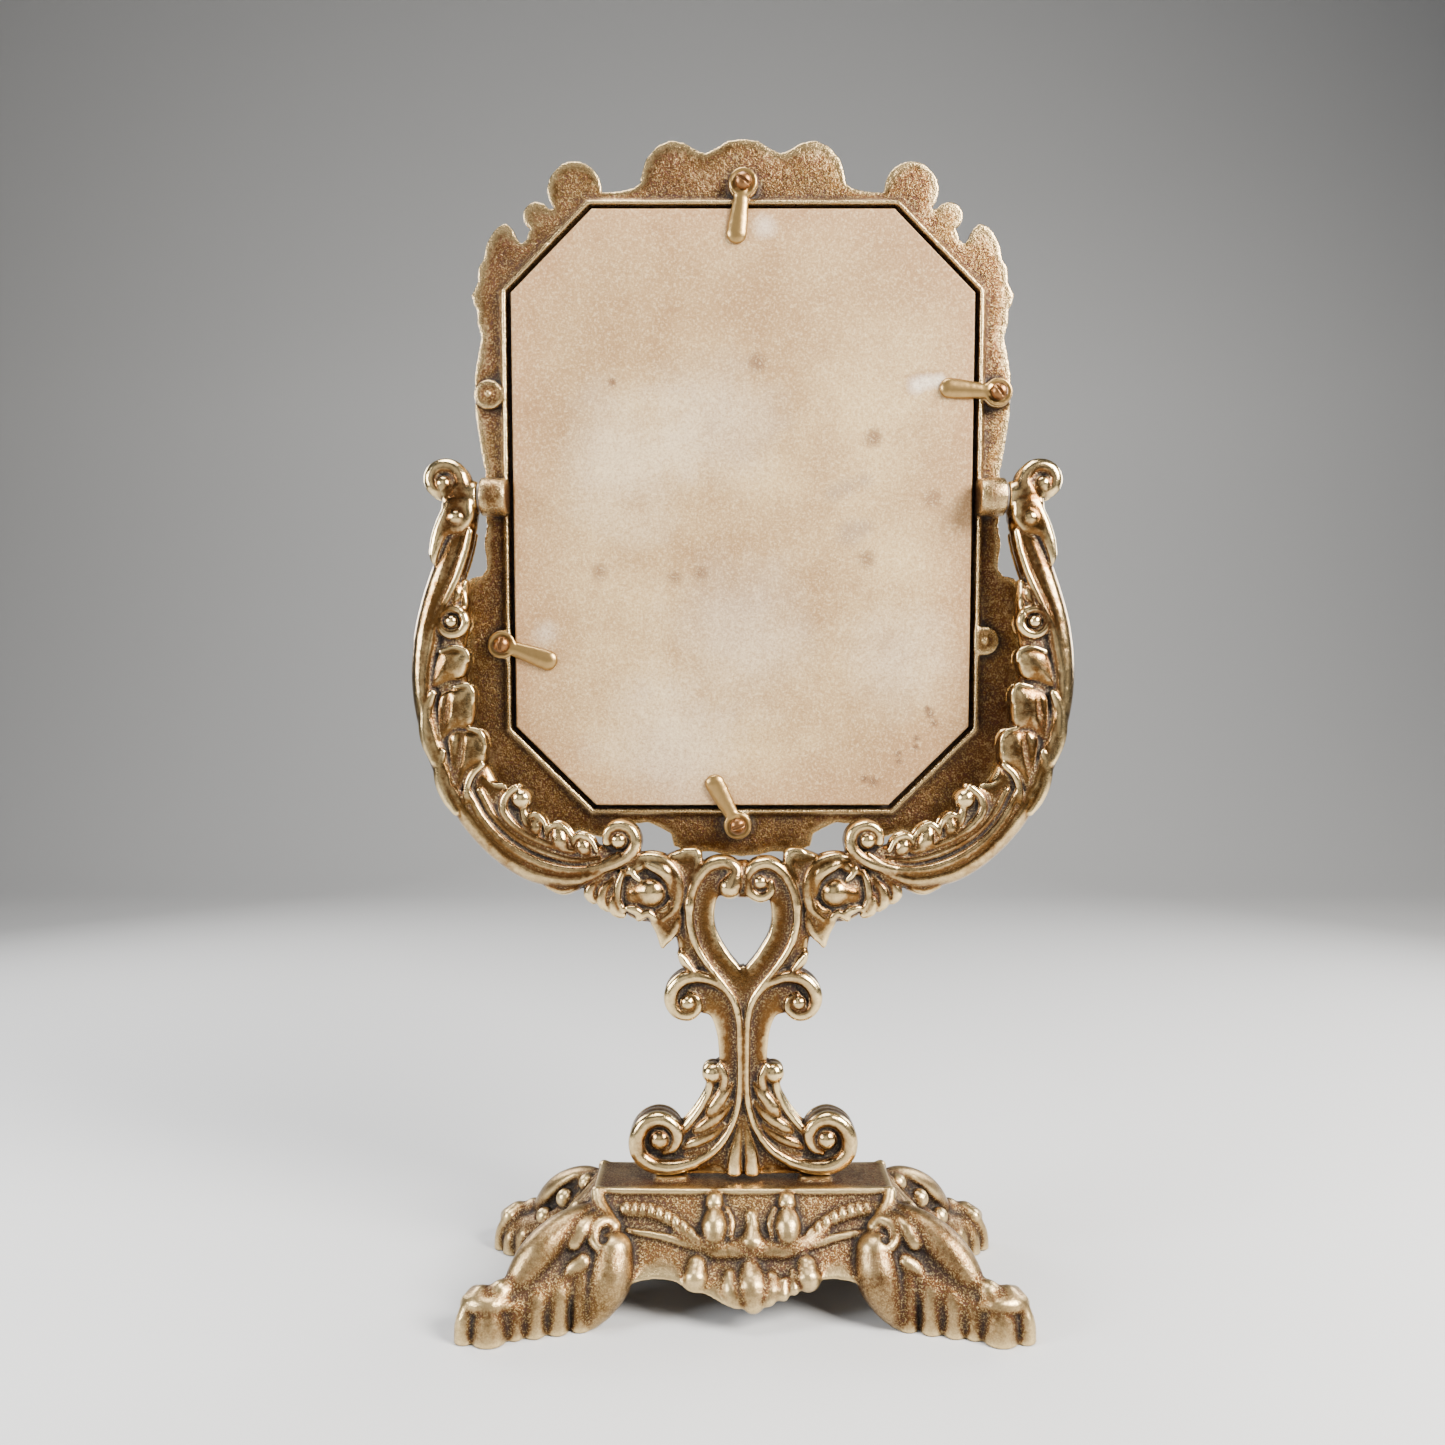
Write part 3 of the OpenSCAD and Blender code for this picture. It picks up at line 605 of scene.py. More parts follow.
def build_yoke():
    """Both arms and the stem: the face on the -Y side is sculpted, and the other is its mirror image."""
    c = Clay([-131, -9.8, 42.5], [131, 0.01, 318], 0.68)
    for side in (1, -1):
        c.flip = side
        stem(c)
        arm(c)
        rose_spray(c)
    c.flip = 1
    c.noise(0.025, 1.6, 3)
    c.noise(0.03, 5, 4)
    c = c.mirrored(y=True)
    # The pivot bosses, with their bores, and the flat faces toward the mirror and under the feet
    boss_r, boss_mid, boss_half = 5.9, 107.4, 6.1
    bore_r, inner_face, clear_r = 2.5, 101.02, 12
    x, yy, z = c.coords()
    ring = np.sqrt(yy ** 2 + (z - PIVOT_Z) ** 2)
    tube = np.maximum(ring - boss_r, np.abs(np.abs(x) - boss_mid) - boss_half)
    c.d = smooth_min(c.d, tube, 2.4)
    c.d = np.maximum(c.d, np.minimum(bore_r - ring, np.abs(x) - 95))
    c.d = np.maximum(c.d, inner_face - np.where(ring < clear_r, np.abs(x), 200))
    c.d = np.maximum(c.d, PAD_TOP - z)
    return c.mesh("yoke_sculpted")


# The left half of the mirror frame's outline, from the top of the crest round to the foot
FRAME_EDGE = [(6, 135), (0, 135.2), (-5, 134.6), (-9, 132.2), (-14, 129.8), (-18, 131.4), (-22.5, 134),
              (-27.4, 134.6), (-32.6, 132.4), (-36.6, 128), (-38.2, 122.6), (-38.8, 119), (-41.6, 117),
              (-46, 116), (-53, 115.6), (-58, 112), (-66, 111), (-73.4, 109.4), (-77, 105),
              (-81.4, 101.4), (-82.2, 98.4), (-84.4, 96.2), (-86.6, 99), (-87.8, 102.2), (-90.3, 104.2),
              (-93.6, 102.6), (-96.2, 99.2), (-98, 95.4), (-98.6, 91.4), (-101, 87.4), (-101.4, 82),
              (-103.6, 77.6), (-102.8, 74), (-101.6, 72.2), (-101.4, 66.7), (-100, 61.6), (-101.4, 56),
              (-102.6, 49), (-103, 41), (-102.6, 31), (-101.2, 20), (-99.6, 11), (-98.2, 6), (-98, -6),
              (-99.4, -12), (-100.4, -17.5), (-99.6, -23), (-99.4, -27), (-101.4, -29.8), (-106, -30.8),
              (-108.6, -35.4), (-109.2, -42), (-108, -48), (-107.6, -51.6), (-109.4, -57.4),
              (-109.6, -66), (-108.4, -72.4), (-106.4, -77), (-107, -82.6), (-106, -88.6),
              (-103.6, -92.4), (-103.6, -99), (-101.4, -105.6), (-98, -109), (-95.8, -114.4),
              (-90.4, -119.4), (-85, -122.4), (-80, -127), (-74, -131), (-67.4, -132), (-64, -130),
              (-61, -131.4), (-56, -133), (-50.6, -131.6), (-46.6, -127.8), (-37, -127), (-32.4, -129),
              (-28, -131.4), (-26.8, -136.4), (-21.4, -139), (-12, -138.6), (-6, -140), (0, -140.6),
              (6, -140.6)]
# The frame's screw bosses, as (x, z). Two of the six carry no clip.
TOP_BOSS = (0, 117.8)
RIGHT_BOSS = (97.8, 40)
LEFT_BOSS = (-93.7, -56.5)
BOTTOM_BOSS = (-1.8, -127.6)
BOSSES = [TOP_BOSS, RIGHT_BOSS, (-97.7, 39.4), LEFT_BOSS, (94.4, -55), BOTTOM_BOSS]


def build_frame():
    """The mirror's frame, flat behind and carved in front, in its own upright frame."""
    c = Clay([-112, -8.4, -143.5], [0.01, 18.6, 138.5], 0.7)

    def outline(x, z):
        d = polygon_2d(x, z, FRAME_EDGE)
        d = np.minimum(d, disc_2d(x, z, -64, 116.7, 10.2))
        d = smooth_min(d, disc_2d(x, z, -78.6, 107.0, 5.1), 0.5)
        return smooth_min(d, octagon_2d(x, z, 6), 1.5)

    c.slab(outline, 7.0, 11.0, 0.3, 0.8)
    # The raised bead round the pocket
    x, yy, z = c.coords()
    out = octagon_2d(x[:, 0, :], z[:, 0, :], 0)[:, None, :]
    fall = np.clip((out - 2.6) / 2.8, 0, 1)
    bead = np.maximum((4.0 + 3.1 * fall * fall * (3 - 2 * fall) - yy) * 0.75, yy - 8)
    c.d = smooth_min(c.d, -smooth_min(-bead, out - 1.8, 0.9), 0.6)
    lug = [(-101.5, 0, 6.2), (-99, 0, 7.2), (-95, 0, 7.5), (-92.2, 0, 7.0), (-89, 0, 6)]
    c.stroke(lug, 0, None, 1.2)
    c.stroke([(-97, 0, 6.4), (-93, 0, 6.4)], 4.5, None, 2.0)

    # Front: a hollow moulding round the glass with a row of beads, then leaf work out to the edge
    c.slab(lambda x, z: np.abs(octagon_2d(x, z, 0.6)) - 4.9, 9.6, 14.0, 0.4, 1.6)
    c.slab(lambda x, z: np.abs(octagon_2d(x, z, -2.9)) - 1.2, 12, 15.4, 0.4, 0.9)
    c.slab(lambda x, z: np.abs(octagon_2d(x, z, 4.2)) - 1.0, 12, 15.0, 0.4, 0.8)
    w, h, q = GLASS_HALF_W + 0.6, GLASS_HALF_H + 0.6, GLASS_CUT
    half = [(0, h), (-w + q, h), (-w, h - q), (-w, -h + q), (-w + q, -h), (0, -h)]
    corner = [(cx, GLASS_MID + cz) for cx, cz in half]
    bead_gap = 4.1
    for a, b in zip(corner[:-1], corner[1:]):
        n = round(math.dist(a, b) / bead_gap)
        for i in range(n):
            t = (i + 0.5) / n
            c.ball(a[0] + (b[0] - a[0]) * t, a[1] + (b[1] - a[1]) * t, 1.5, 13.6, k=0.3)
    # Crest: a shell between two scrolls
    for i in range(5):
        a = math.radians(90 + 17 * i)
        far = 17.6 - 0.7 * i
        c.stroke([(0, 118, 1.2), (far * 0.5 * math.cos(a), 118 + far * 0.5 * math.sin(a), 2.1),
                  (far * 0.86 * math.cos(a), 118 + far * 0.86 * math.sin(a), 2.7)], 13 - 0.2 * i, None, 0.3)
    c.ball(0, 116.5, 4.2, 13.4, k=0.4)
    volute(c, (-26.6, 123.6), 8.6, 3.4, 190, 1.15, 2.3, 1.4, 12.6, ball=2.6,
           lead=[(-7, 116, 1.4, 12.6), (-18, 113.5, 1.9, 12.6), (-29, 114.6, 2.2, 12.6)])
    leaf(c, (-36, 114.5), (-52, 116.6), 7, 3, 11.6, 0.6)
    rose(c, -64, 116.6, 9.4, 12.2, 35, dep=3.4)
    c.ball(-78.4, 106.6, 4.2, 11.6, dep=3.4, k=0.4)
    leaf(c, (-78, 91), (-91, 103.4), 11, 3, 12, 0.4, 0.05)
    leaf(c, (-84, 84), (-99, 92), 10, 3, 12, 0.2, 0.05)
    leaf(c, (-90, 76), (-102, 79), 7, 2, 12, 0)
    # Sides above the pivots: a long reed scroll, and below them broad overlapping leaves
    volute(c, (-97.4, 66.6), 3.6, 1.6, 0, -1.1, 1.3, 1.0, 12.2, ball=1.6)
    c.stroke([(-95.6, 60, 1.6), (-97.6, 50, 2.4), (-98.2, 38, 2.8), (-97.6, 26, 2.4), (-96.4, 14, 1.6)],
             12, None, 0.4)
    c.stroke([(-99.6, 56, 0.8), (-101, 44, 1.1), (-101, 30, 1.1), (-99, 18, 0.8)], 11.6, None, 0.3)
    for z in (-38, -58, -76, -92):
        leaf(c, (-94.6, z + 15), (-106.2 + max(0, -z - 60) * 0.13, z - 3), 11, 3, 12, 0.1, 0.18)
    volute(c, (-97.4, -17), 3.8, 1.6, 60, 1.15, 1.3, 1.0, 12.2, ball=1.6)
    for root, tip, wide in (((-84, -102), (-98.6, -108), 12), ((-76, -110), (-88, -119.6), 12),
                            ((-64, -118), (-76, -129), 11), ((-50, -120.6), (-60, -131), 9)):
        leaf(c, root, tip, wide, 3, 12, 0.1, 0.1)
    c.stroke([(-46, -123, 1.2), (-38, -123.6, 1.9), (-30, -124.6, 2.3)], 12, None, 0.4)
    # Foot: a hanging shell
    for i in range(5):
        a = math.radians(-90 - 21 * i)
        far = 19 - 0.6 * i
        c.stroke([(0, -120, 1.2), (far * 0.5 * math.cos(a), -120 + far * 0.5 * math.sin(a), 2.3),
                  (far * 0.85 * math.cos(a) * (1 + 0.06 * i), -120 + far * 0.85 * math.sin(a), 2.8)],
                 13 - 0.2 * i, None, 0.3)
    c.ball(0, -119.5, 4, 13.4, k=0.4)
    volute(c, (-21.6, -130), 4.6, 1.8, 60, 1.2, 1.6, 1.1, 12.2, ball=2)

    # Nothing of the front reaches past the outline
    x, yy, z = c.coords()
    edge = outline(x[:, 0, :], z[:, 0, :])[:, None, :]
    c.d = np.maximum(c.d, np.where(yy ** 2 + z ** 2 < 144, -9, edge - 0.2))
    c.noise(0.04, 1.5, 5)
    c.noise(0.06, 8, 6)
    c = c.mirrored(x=True)
    x, yy, z = c.coords()
    flat = np.float32(0) + octagon_2d(x[:, 0, :], z[:, 0, :], 0)[:, None, :]
    # Screw bosses, the pocket for board and glass, the sight opening, and the holes
    screw_r, screw_end = 1.75, 9.2
    pocket_grow, pocket_floor, sight_grow = 1.8, 10.15, -4.4
    pin_r, pin_end, lug_face = 2.05, 92.5, 100
    for bx, bz in BOSSES:
        ring = np.sqrt((x - bx) ** 2 + (z - bz) ** 2)
        c.d = smooth_min(c.d, -smooth_min(5.6 - ring, 3.2 - np.abs(yy - 6.85), 0.8), 1.0)
    for bx, bz in BOSSES:
        ring = np.sqrt((x - bx) ** 2 + (z - bz) ** 2)
        if (bx, bz) in (TOP_BOSS, RIGHT_BOSS, LEFT_BOSS, BOTTOM_BOSS):
            c.d = np.maximum(c.d, np.minimum(screw_r - ring, screw_end - yy))
        else:
            c.d = smooth_min(c.d, np.sqrt(ring ** 2 + (yy - 4.6) ** 2) - 2.0, 0.3)
    c.d = np.maximum(c.d, np.minimum(pocket_grow - flat, pocket_floor - yy))
    c.d = np.maximum(c.d, sight_grow - flat)
    pin = np.sqrt(yy ** 2 + z ** 2)
    c.d = np.maximum(c.d, np.minimum(pin_r - pin, np.abs(x) - pin_end))
    c.d = np.maximum(c.d, np.where(pin < 14, np.abs(x) - lug_face, -9))
    return c.mesh("frame_sculpted", tilted)


def octagon_ring(grow):
    """The eight corners of the glass's outline, grown by grow, as (x, z)."""
    w, h = GLASS_HALF_W + grow, GLASS_HALF_H + grow
    q = GLASS_CUT + grow * (2 - math.sqrt(2))
    right = [(w - q, h), (w, h - q), (w, q - h), (w - q, -h)]
    return [(x, z + GLASS_MID) for x, z in right + [(-x, z) for x, z in right[::-1]]]


def octagon_solid(name, layers):
    """A solid of eight-sided layers, each (grow, y), standing in the mirror's frame."""
    verts = []
    for grow, y in layers:
        verts += [(x, y, z) for x, z in octagon_ring(grow)]
    n = len(layers)
    faces = [tuple(range(7, -1, -1)), tuple(8 * (n - 1) + i for i in range(8))]
    for i in range(n - 1):
        faces += [(8 * i + j, 8 * i + (j + 1) % 8, 8 * (i + 1) + (j + 1) % 8,
                   8 * (i + 1) + j) for j in range(8)]
    me = bpy.data.meshes.new(name)
    me.from_pydata((tilted(np.array(verts, float)) * MM).tolist(), [], faces)
    me.update()
    return link(bpy.data.objects.new(name, me))


def at_screw(where, turn):
    """Places clay made round the origin at a screw, turned in the frame's plane by turn degrees."""
    a = math.radians(turn)

    def place(v):
        x, y, z = v[:, 0], v[:, 1], v[:, 2]
        return tilted(np.stack([where[0] + x * math.cos(a) - z * math.sin(a), y,
                                where[1] + x * math.sin(a) + z * math.cos(a)], 1))
    return place


def build_clip(name, where, direction):
    """A half-round finger with a dished eye, pointing along +X before it is turned."""
    flat_y, bore_r, head_r, head_y = 3.55, 1.85, 3.9, 1.3
    c = Clay([-6.6, 0.4, -6.6], [24, 5, 6.6], 0.32)
    c.stroke([(4, 0, 2.9), (8, 0, 3.2), (14, 0, 3.7), (18.7, 0, 3.95)], flat_y, 2.2, 0.8)
    x, y, z = c.coords()
    ring = np.sqrt(x ** 2 + z ** 2)
    eye = -smooth_min(5.3 - ring, 0.75 - np.abs(y - 2.8), 0.7)
    c.d = smooth_min(c.d, eye, 0.9)
    c.d = smooth_min(c.d, np.sqrt((ring - 4.6) ** 2 + (y - 2.3) ** 2) - 0.55, 0.7)
    c.noise(0.02, 0.9, 11)
    c.d = np.maximum(c.d, np.maximum(y - flat_y, bore_r - ring))
    c.d = np.maximum(c.d, np.where(ring < head_r, head_y - y, -9))
    return c.mesh(name, at_screw(where, direction))


def build_screw(name, where, turn):
    """A round-headed slotted wood screw."""
    c = Clay([-4.2, -2, -4.2], [4.2, 9.6, 4.2], 0.22)
    x, y, z = c.coords()
    ring = np.sqrt(x ** 2 + z ** 2)
    head_r, head_back, shank_r, slot_half, slot_floor = 3.3, 1.22, 1.74, 0.48, -0.15
    head = np.maximum(np.sqrt(ring ** 2 + ((y - 1.25) * 1.28) ** 2) - head_r, y - head_back)
    c.d = np.minimum(c.d, head)
    c.d = np.minimum(c.d, np.maximum(ring - shank_r, np.abs(y - 5) - 4.0))
    c.d = np.maximum(c.d, np.minimum(slot_half - np.abs(z), slot_floor - y))
    c.noise(0.012, 0.8, 13)
    return c.mesh(name, at_screw(where, turn))


def build_base():
    """The four-legged base: a hollow sloping body under a plate, sculpted as one quarter and mirrored."""
    c = Clay([-103, -50, -1.5], [0.01, 0.01, 46], 0.7)
    x, y, z = c.coords()
    ax, ay = -x, -y
    # Body: sloping walls under the plate, hollow, with an arched lower edge
    front = ((ay - PLATE_HALF_D) * 24 + (z - PLATE_EDGE_Z) * 17.5) / 29.7
    side = ((ax - 54.5) * 27 + (z - PLATE_EDGE_Z) * 17.5) / 32.2
    front = front + 0.9 * np.sin(np.clip((41 - z) / 24, 0, 1) * math.pi)
    wall, plate_under, plate_top = 4.2, 38.5, 42.5
    outer = np.maximum(np.maximum(front, side), z - plate_top)
    inner = np.maximum(np.maximum(front, side) + wall, z - plate_under)
    hem_front = np.interp(ax, [0, 7, 13, 20, 24, 27.5, 32, 37, 42, 48, 60],
                          [9, 10, 12.5, 14, 15.8, 16.4, 16.6, 16, 15, 17, 24])
    hem_side = np.interp(ay, [0, 6, 12, 18, 24, 30], [12, 15, 17.5, 17.5, 14, 8])
    hem = np.where(front > side, hem_front + 0 * y, hem_side + 0 * x).astype(np.float32)
    c.d = -smooth_min(-np.maximum(outer, -inner), z - hem, 1.2) + 0 * c.d
    c.d = np.minimum(c.d, c.FAR)

    # Leg: a broad core from the plate's corner to the toe
    c.stroke([(-50, 34, 5, -12), (-56, 29, 6.4, -15.6), (-64, 21, 7.4, -20), (-74, 13, 8, -24.6),
              (-84, 8.4, 7, -30), (-91, 7.4, 6.2, -34.6)], k=2)
    c.stroke([(-50, 11, 6.4, -21), (-60, 9, 7.6, -23.6), (-73, 7, 8, -28), (-85, 5.6, 7.4, -33.4),
              (-91, 5, 6.4, -36.6)], k=2)
    c.stroke([(-51, 30, 5, -19), (-55, 25, 5.6, -22.4), (-58, 19, 6, -25.4)], k=2)
    # The knee: a fat shoulder that drops to the foot, with a small knuckle beside it
    c.stroke([(-56.4, 35, 3.4, -17), (-61.6, 33, 5.2, -20.6), (-67.4, 29.6, 6.4, -24.4),
              (-73, 25, 6.8, -28), (-77.6, 19.4, 6, -31), (-80, 15, 4.6, -33)], k=1.2)
    c.stroke([(-53.6, 34.6, 2.4, -20.4), (-57.6, 32.4, 3.6, -24.2), (-60.6, 28.6, 3.2, -27)], k=1.0)
    c.stroke([(-66.4, 33, 1.2, -17.6), (-73, 26, 2, -20.6), (-80.6, 17.4, 2, -24.6)], carve=True, k=2.4)
    # Toe: a rolled rim and two swellings over one broad lobe and smaller ones beside it
    c.stroke([(-96.8, 0, 3.6, -40.6), (-96.8, 6, 3.5, -40.6), (-96, 10, 3, -39.6)], k=0.9)
    c.stroke([(-88.2, 0, 6.2, -40.2), (-88.2, 6, 6.1, -40), (-88.2, 10.4, 5.4, -39.2)], k=0.9)
    c.stroke([(-97.4, 0, 3.6, -34.2), (-97, 6, 3.5, -34.2), (-95.6, 10.4, 3, -33.6)], k=0.9)
    c.stroke([(-93, 0, 3.6, -29.6), (-92.6, 6, 3.4, -30), (-91, 9, 2.8, -31)], k=0.9)
    c.stroke([(-83, 12, 2.4, -39.6), (-87.4, 12.6, 3.2, -41), (-92.6, 12.4, 3.2, -40.4),
              (-96, 12, 3, -37.2), (-94.4, 13, 3.1, -33.6)], k=0.9)
    c.ball(-91.4, 13.6, 4.2, -37, k=2.4)
    c.ball(-84.8, 15.2, 4.2, -36.6, k=2.4)
    # The hollow of the leg between the knee and the flutes
    c.stroke([(-58, 15, 6.4, -26.4), (-66, 13.4, 6.8, -29), (-75, 10.6, 6.4, -32.4), (-82, 8, 5.6, -35)],
             k=2.4)
    c.stroke([(-63, 23, 3.6, -25.6), (-70, 18, 4, -29.4), (-77, 13, 3.6, -33)], k=2.0)
    # Soft flutes under both faces of the leg
    for px, py, r, top, lean in ((-79.4, -38.6, 2.7, 13, 0.9), (-73, -36.4, 3.7, 14.6, 1.1),
                                 (-65.4, -34, 3.9, 16.4, 1.2), (-87.4, -26, 3.4, 9.4, 0.4),
                                 (-82, -22, 3.2, 10.4, 0.5), (-77.4, -17.8, 3, 12, 0.6),
                                 (-73.4, -13.6, 3, 13.6, 0.6)):
        c.stroke([(px, 0, r, py), (px, top * 0.5, r, py + 0.1),
                  (px + 0.4 * lean, top * 0.8, r * 0.9, py + 0.9 * lean),
                  (px + 0.8 * lean, top, r * 0.6, py + 3 * lean)], k=1.9)
    # A fat fold that curls over between the flutes and the shoulder
    c.stroke([(-57.6, 0, 3.8, -31.8), (-57.6, 8, 3.8, -31.8), (-57.6, 15, 3.4, -31.2),
              (-57.4, 20, 2.8, -30.2)], k=0.7)
    c.stroke([(-62.4, 17, 2.2, -31.4), (-60.4, 20.6, 2.8, -30.6), (-57, 22.6, 3, -29.8)], k=1.4)
    # The broad egg-shaped shoulder under a hooked strap from the plate's corner
    c.stroke([(-54, 4, 4.2, -30.6), (-50.8, 9.6, 6.6, -29.8), (-47.6, 17, 8.2, -28.4),
              (-46.8, 24.6, 7, -25.6)], k=1.2)
    c.stroke([(-53.8, 41, 2.3, -13.4), (-52.6, 37.4, 2.8, -16.4), (-49.6, 34, 3, -19.6),
              (-47, 31.6, 2.8, -22.4)], k=0.9)
    c.stroke([(-46.6, 31.8, 2.4, -21.6), (-50, 33.6, 2.7, -22), (-53.4, 32.2, 2.8, -24),
              (-53.6, 29, 2.6, -26.4), (-51.4, 27.2, 2.2, -28.6)], k=0.6)
    c.ball(-50, 30.2, 1.7, -28.4, carve=True, k=0.8)
    # Plate edge
    c.stroke([(-54, 41.4, 1.3, -13), (-54, 41.4, 1.3, 0)], k=0.6)
    c.stroke([(-54, 41.5, 1.2, -13), (-27, 41.3, 1.1, -13.2), (0, 41.3, 1.1, -13.2)], k=0.8)
    # End apron: overlapping leaves down the flank
    for ry, ty, tz, w in ((-1, -1, 16, 3.0), (-6, -8.6, 17, 2.9), (-10.4, -16, 17.6, 2.8)):
        c.stroke([(-54.6, 39, 1.6, ry), (-60, 31, w, (ry + ty) / 2), (-66, 23.4, w * 1.1, ty),
                  (-69.4, tz, w * 0.7, ty)], k=0.5)
        c.stroke([(-58, 30.4, 1, ry * 0.8 + 2.4), (-63.4, 24.6, 1.5, ty + 3), (-67.4, 18, 1, ty + 3)],
                 k=0.5)
    c.ball(-60.6, 34.4, 3.4, -13.4, k=0.8)
    c.ball(-69.6, 26.6, 3.8, -17.6, k=0.8)
    c.ball(-78.4, 17.6, 3.6, -22.4, k=0.8)
    c.noise(0.05, 6, 17)
    c = c.mirrored(x=True, y=True)

    # Ornament of the long faces, a little off centre as cast
    for f in (-1, 1):
        o = -2.6 * f

        def face(b, inset=0.0):
            return f * (PLATE_HALF_D + (PLATE_EDGE_Z - b) * 0.729 - inset)

        def on(pts, inset=0.0):
            """Lays (x, z, radius) points on the sloping face."""
            return [(a + o, b, r, face(b, inset)) for a, b, r in pts]
        for m in (-1, 1):
            # A raised crescent, scored into a garland of soft ribs, over a line that follows it
            along = ([18.6, 24, 31, 38, 45.5], [27.4, 30.4, 33.2, 34.8, 35.2], [1.3, 2.1, 2.9, 3.4, 3.2])
            c.stroke([(m * a + o, b, r, face(b, (r - 1.4) / 0.81)) for a, b, r in zip(*along)], k=0.5)
            for t in range(9):
                a = 20 + 3.05 * t
                b, r = np.interp(a, along[0], along[1]), np.interp(a, along[0], along[2])
                c.stroke([(m * (a + 0.5) + o, b - r, 0.55, face(b - r, -1.0)),
                          (m * a + o, b, 0.6, face(b, -1.75)),
                          (m * (a - 0.4) + o, b + r, 0.55, face(b + r, -1.0))], carve=True, k=0.7)
            c.stroke(on([(m * 18.8, 24.6, 1.2), (m * 25, 26.4, 1.4), (m * 32, 28.2, 1.4),
                         (m * 45, 29.8, 1.1)], 0.6), k=0.8)
            # Acorns: a round cap on a fat body
            q = 13.3 * m
            c.stroke(on([(q, 38.4, 3.3), (q, 37.6, 3.5)], 0), k=0.4)
            c.stroke(on([(q, 33.4, 4.1), (q, 31, 5), (q, 28.6, 4.4)], 0.2), k=0.35)
            c.stroke(on([(q - m * 4.4, 36, 1.2), (q - m * 6.2, 32.4, 1.5), (q - m * 5.6, 28.4, 1.4)],
                        0.2), k=0.5)
            # The bow strap, broad and low
            c.stroke(on([(m * 0.4, 23.2, 2.8), (m * 7, 24, 3.2), (m * 14, 24.2, 3.2), (m * 20, 26.4, 2.6),
                         (m * 27, 29.8, 1.6)], 1.3), k=1.4)
            # A knob below each end of it, and soft folds on one side only
            c.stroke(on([(m * 19.6, 20, 3.8), (m * 20, 16.8, 4.7)], 1.4), k=1.1)
            if m > 0:
                for a, low, w in ((11, 12.8, 2.2), (14.8, 14.2, 2)):
                    c.stroke(on([(a - 0.4, 18.6, w * 0.7), (a, 16.4, w), (a, low, w)], 0.3), k=0.9)
            c.stroke(on([(m * 4.8, 19.2, 1.2), (m * 8.6, 18.6, 1.9), (m * 12, 19.6, 1.2)], -1.2),
                     carve=True, k=1.6)
            # The flared foot of the bell between the acorns
            c.stroke(on([(0, 27, 2.6), (m * 3.8, 26.2, 2.2), (m * 7, 25.4, 1.4)], 0.8), k=2)
        c.stroke(on([(0.2, 26.4, 4.2), (0.4, 29.4, 3.1), (0.4, 32, 2.5), (0, 33.8, 2.3)], 1.0), k=1.4)
        # A broad pointed tongue of three lobes in the middle of the hem
        c.stroke(on([(-7.6, 17, 2.8), (-7.2, 13.6, 3.6), (-5.6, 11.4, 2.8)], 1.0), k=1.8)
        c.stroke(on([(7, 16.6, 2.8), (6.8, 13.4, 3.4), (5.6, 11.6, 2.8)], 1.0), k=1.8)
        c.stroke(on([(-0.4, 18.2, 4.4), (0, 14, 6), (0.4, 10.6, 4.2)], 1.8), k=1.1)

    # The bolt pads, their bores and the room for the bolt heads, and the flat planes over and under it all
    pad_half_w, pad_half_d, bolt_r, head_r = 6.2, 7.2, 2.75, 6.2
    x, y, z = c.coords()
    for bx in (-27, 27):
        pad = -smooth_min(pad_half_w - np.abs(x - bx), pad_half_d - np.abs(y), 3)
        c.d = smooth_min(c.d, np.maximum(pad, np.abs(z - 42) - 1.99), 1.6)
        ring = np.sqrt((x - bx) ** 2 + y ** 2)
        c.d = np.maximum(c.d, np.minimum(bolt_r - ring, z - 30))
        c.d = np.maximum(c.d, np.minimum(head_r - ring, np.minimum(plate_under - z, z - 28)))
    c.d = np.maximum(c.d, z - PAD_TOP)
    c.d = np.maximum(c.d, -z)
    return c.mesh("base_sculpted")


# ------------------------------------------------------------------ materials

def nodes_of(name):
    m = bpy.data.materials.new(name)
    m.use_nodes = True
    nt = m.node_tree
    return m, nt, nt.nodes["Principled BSDF"]


def add(nt, kind, **values):
    n = nt.nodes.new(kind)
    for key, v in values.items():
        if hasattr(n, key) and key not in n.inputs:
            setattr(n, key, v)
        else:
            n.inputs[key].default_value = v
    return n


def tree_of(*values):
    """The node tree of the first socket among values."""
    return next(v.id_data for v in values if isinstance(v, bpy.types.NodeSocket))


def noise_tex(scale, detail, rough, at):
    nt = at.id_data
    n = add(nt, "ShaderNodeTexNoise", Scale=scale, Detail=detail, Roughness=rough)
    nt.links.new(at, n.inputs["Vector"])
    return n.outputs["Fac"]


def ramp(source, *stops):
    """A colour ramp: each stop is (place, colour)."""
    nt = source.id_data
    n = nt.nodes.new("ShaderNodeValToRGB")
    el = n.color_ramp.elements
    while len(el) < len(stops):
        el.new(0.5)
    for e, (at, col) in zip(el, stops):
        e.position = at
        e.color = (col, col, col, 1) if isinstance(col, (int, float)) else (*col, 1)
    nt.links.new(source, n.inputs["Fac"])
    return n.outputs["Color"]


def mix(fac, a, b, kind="MIX"):
    nt = tree_of(fac, a, b)
    n = add(nt, "ShaderNodeMix", data_type="RGBA", blend_type=kind)
    for socket, v in ((n.inputs[0], fac), (n.inputs[6], a), (n.inputs[7], b)):
        if isinstance(v, bpy.types.NodeSocket):
            nt.links.new(v, socket)
        else:
            socket.default_value = v if isinstance(v, (int, float)) else (*v, 1)
    return n.outputs[2]


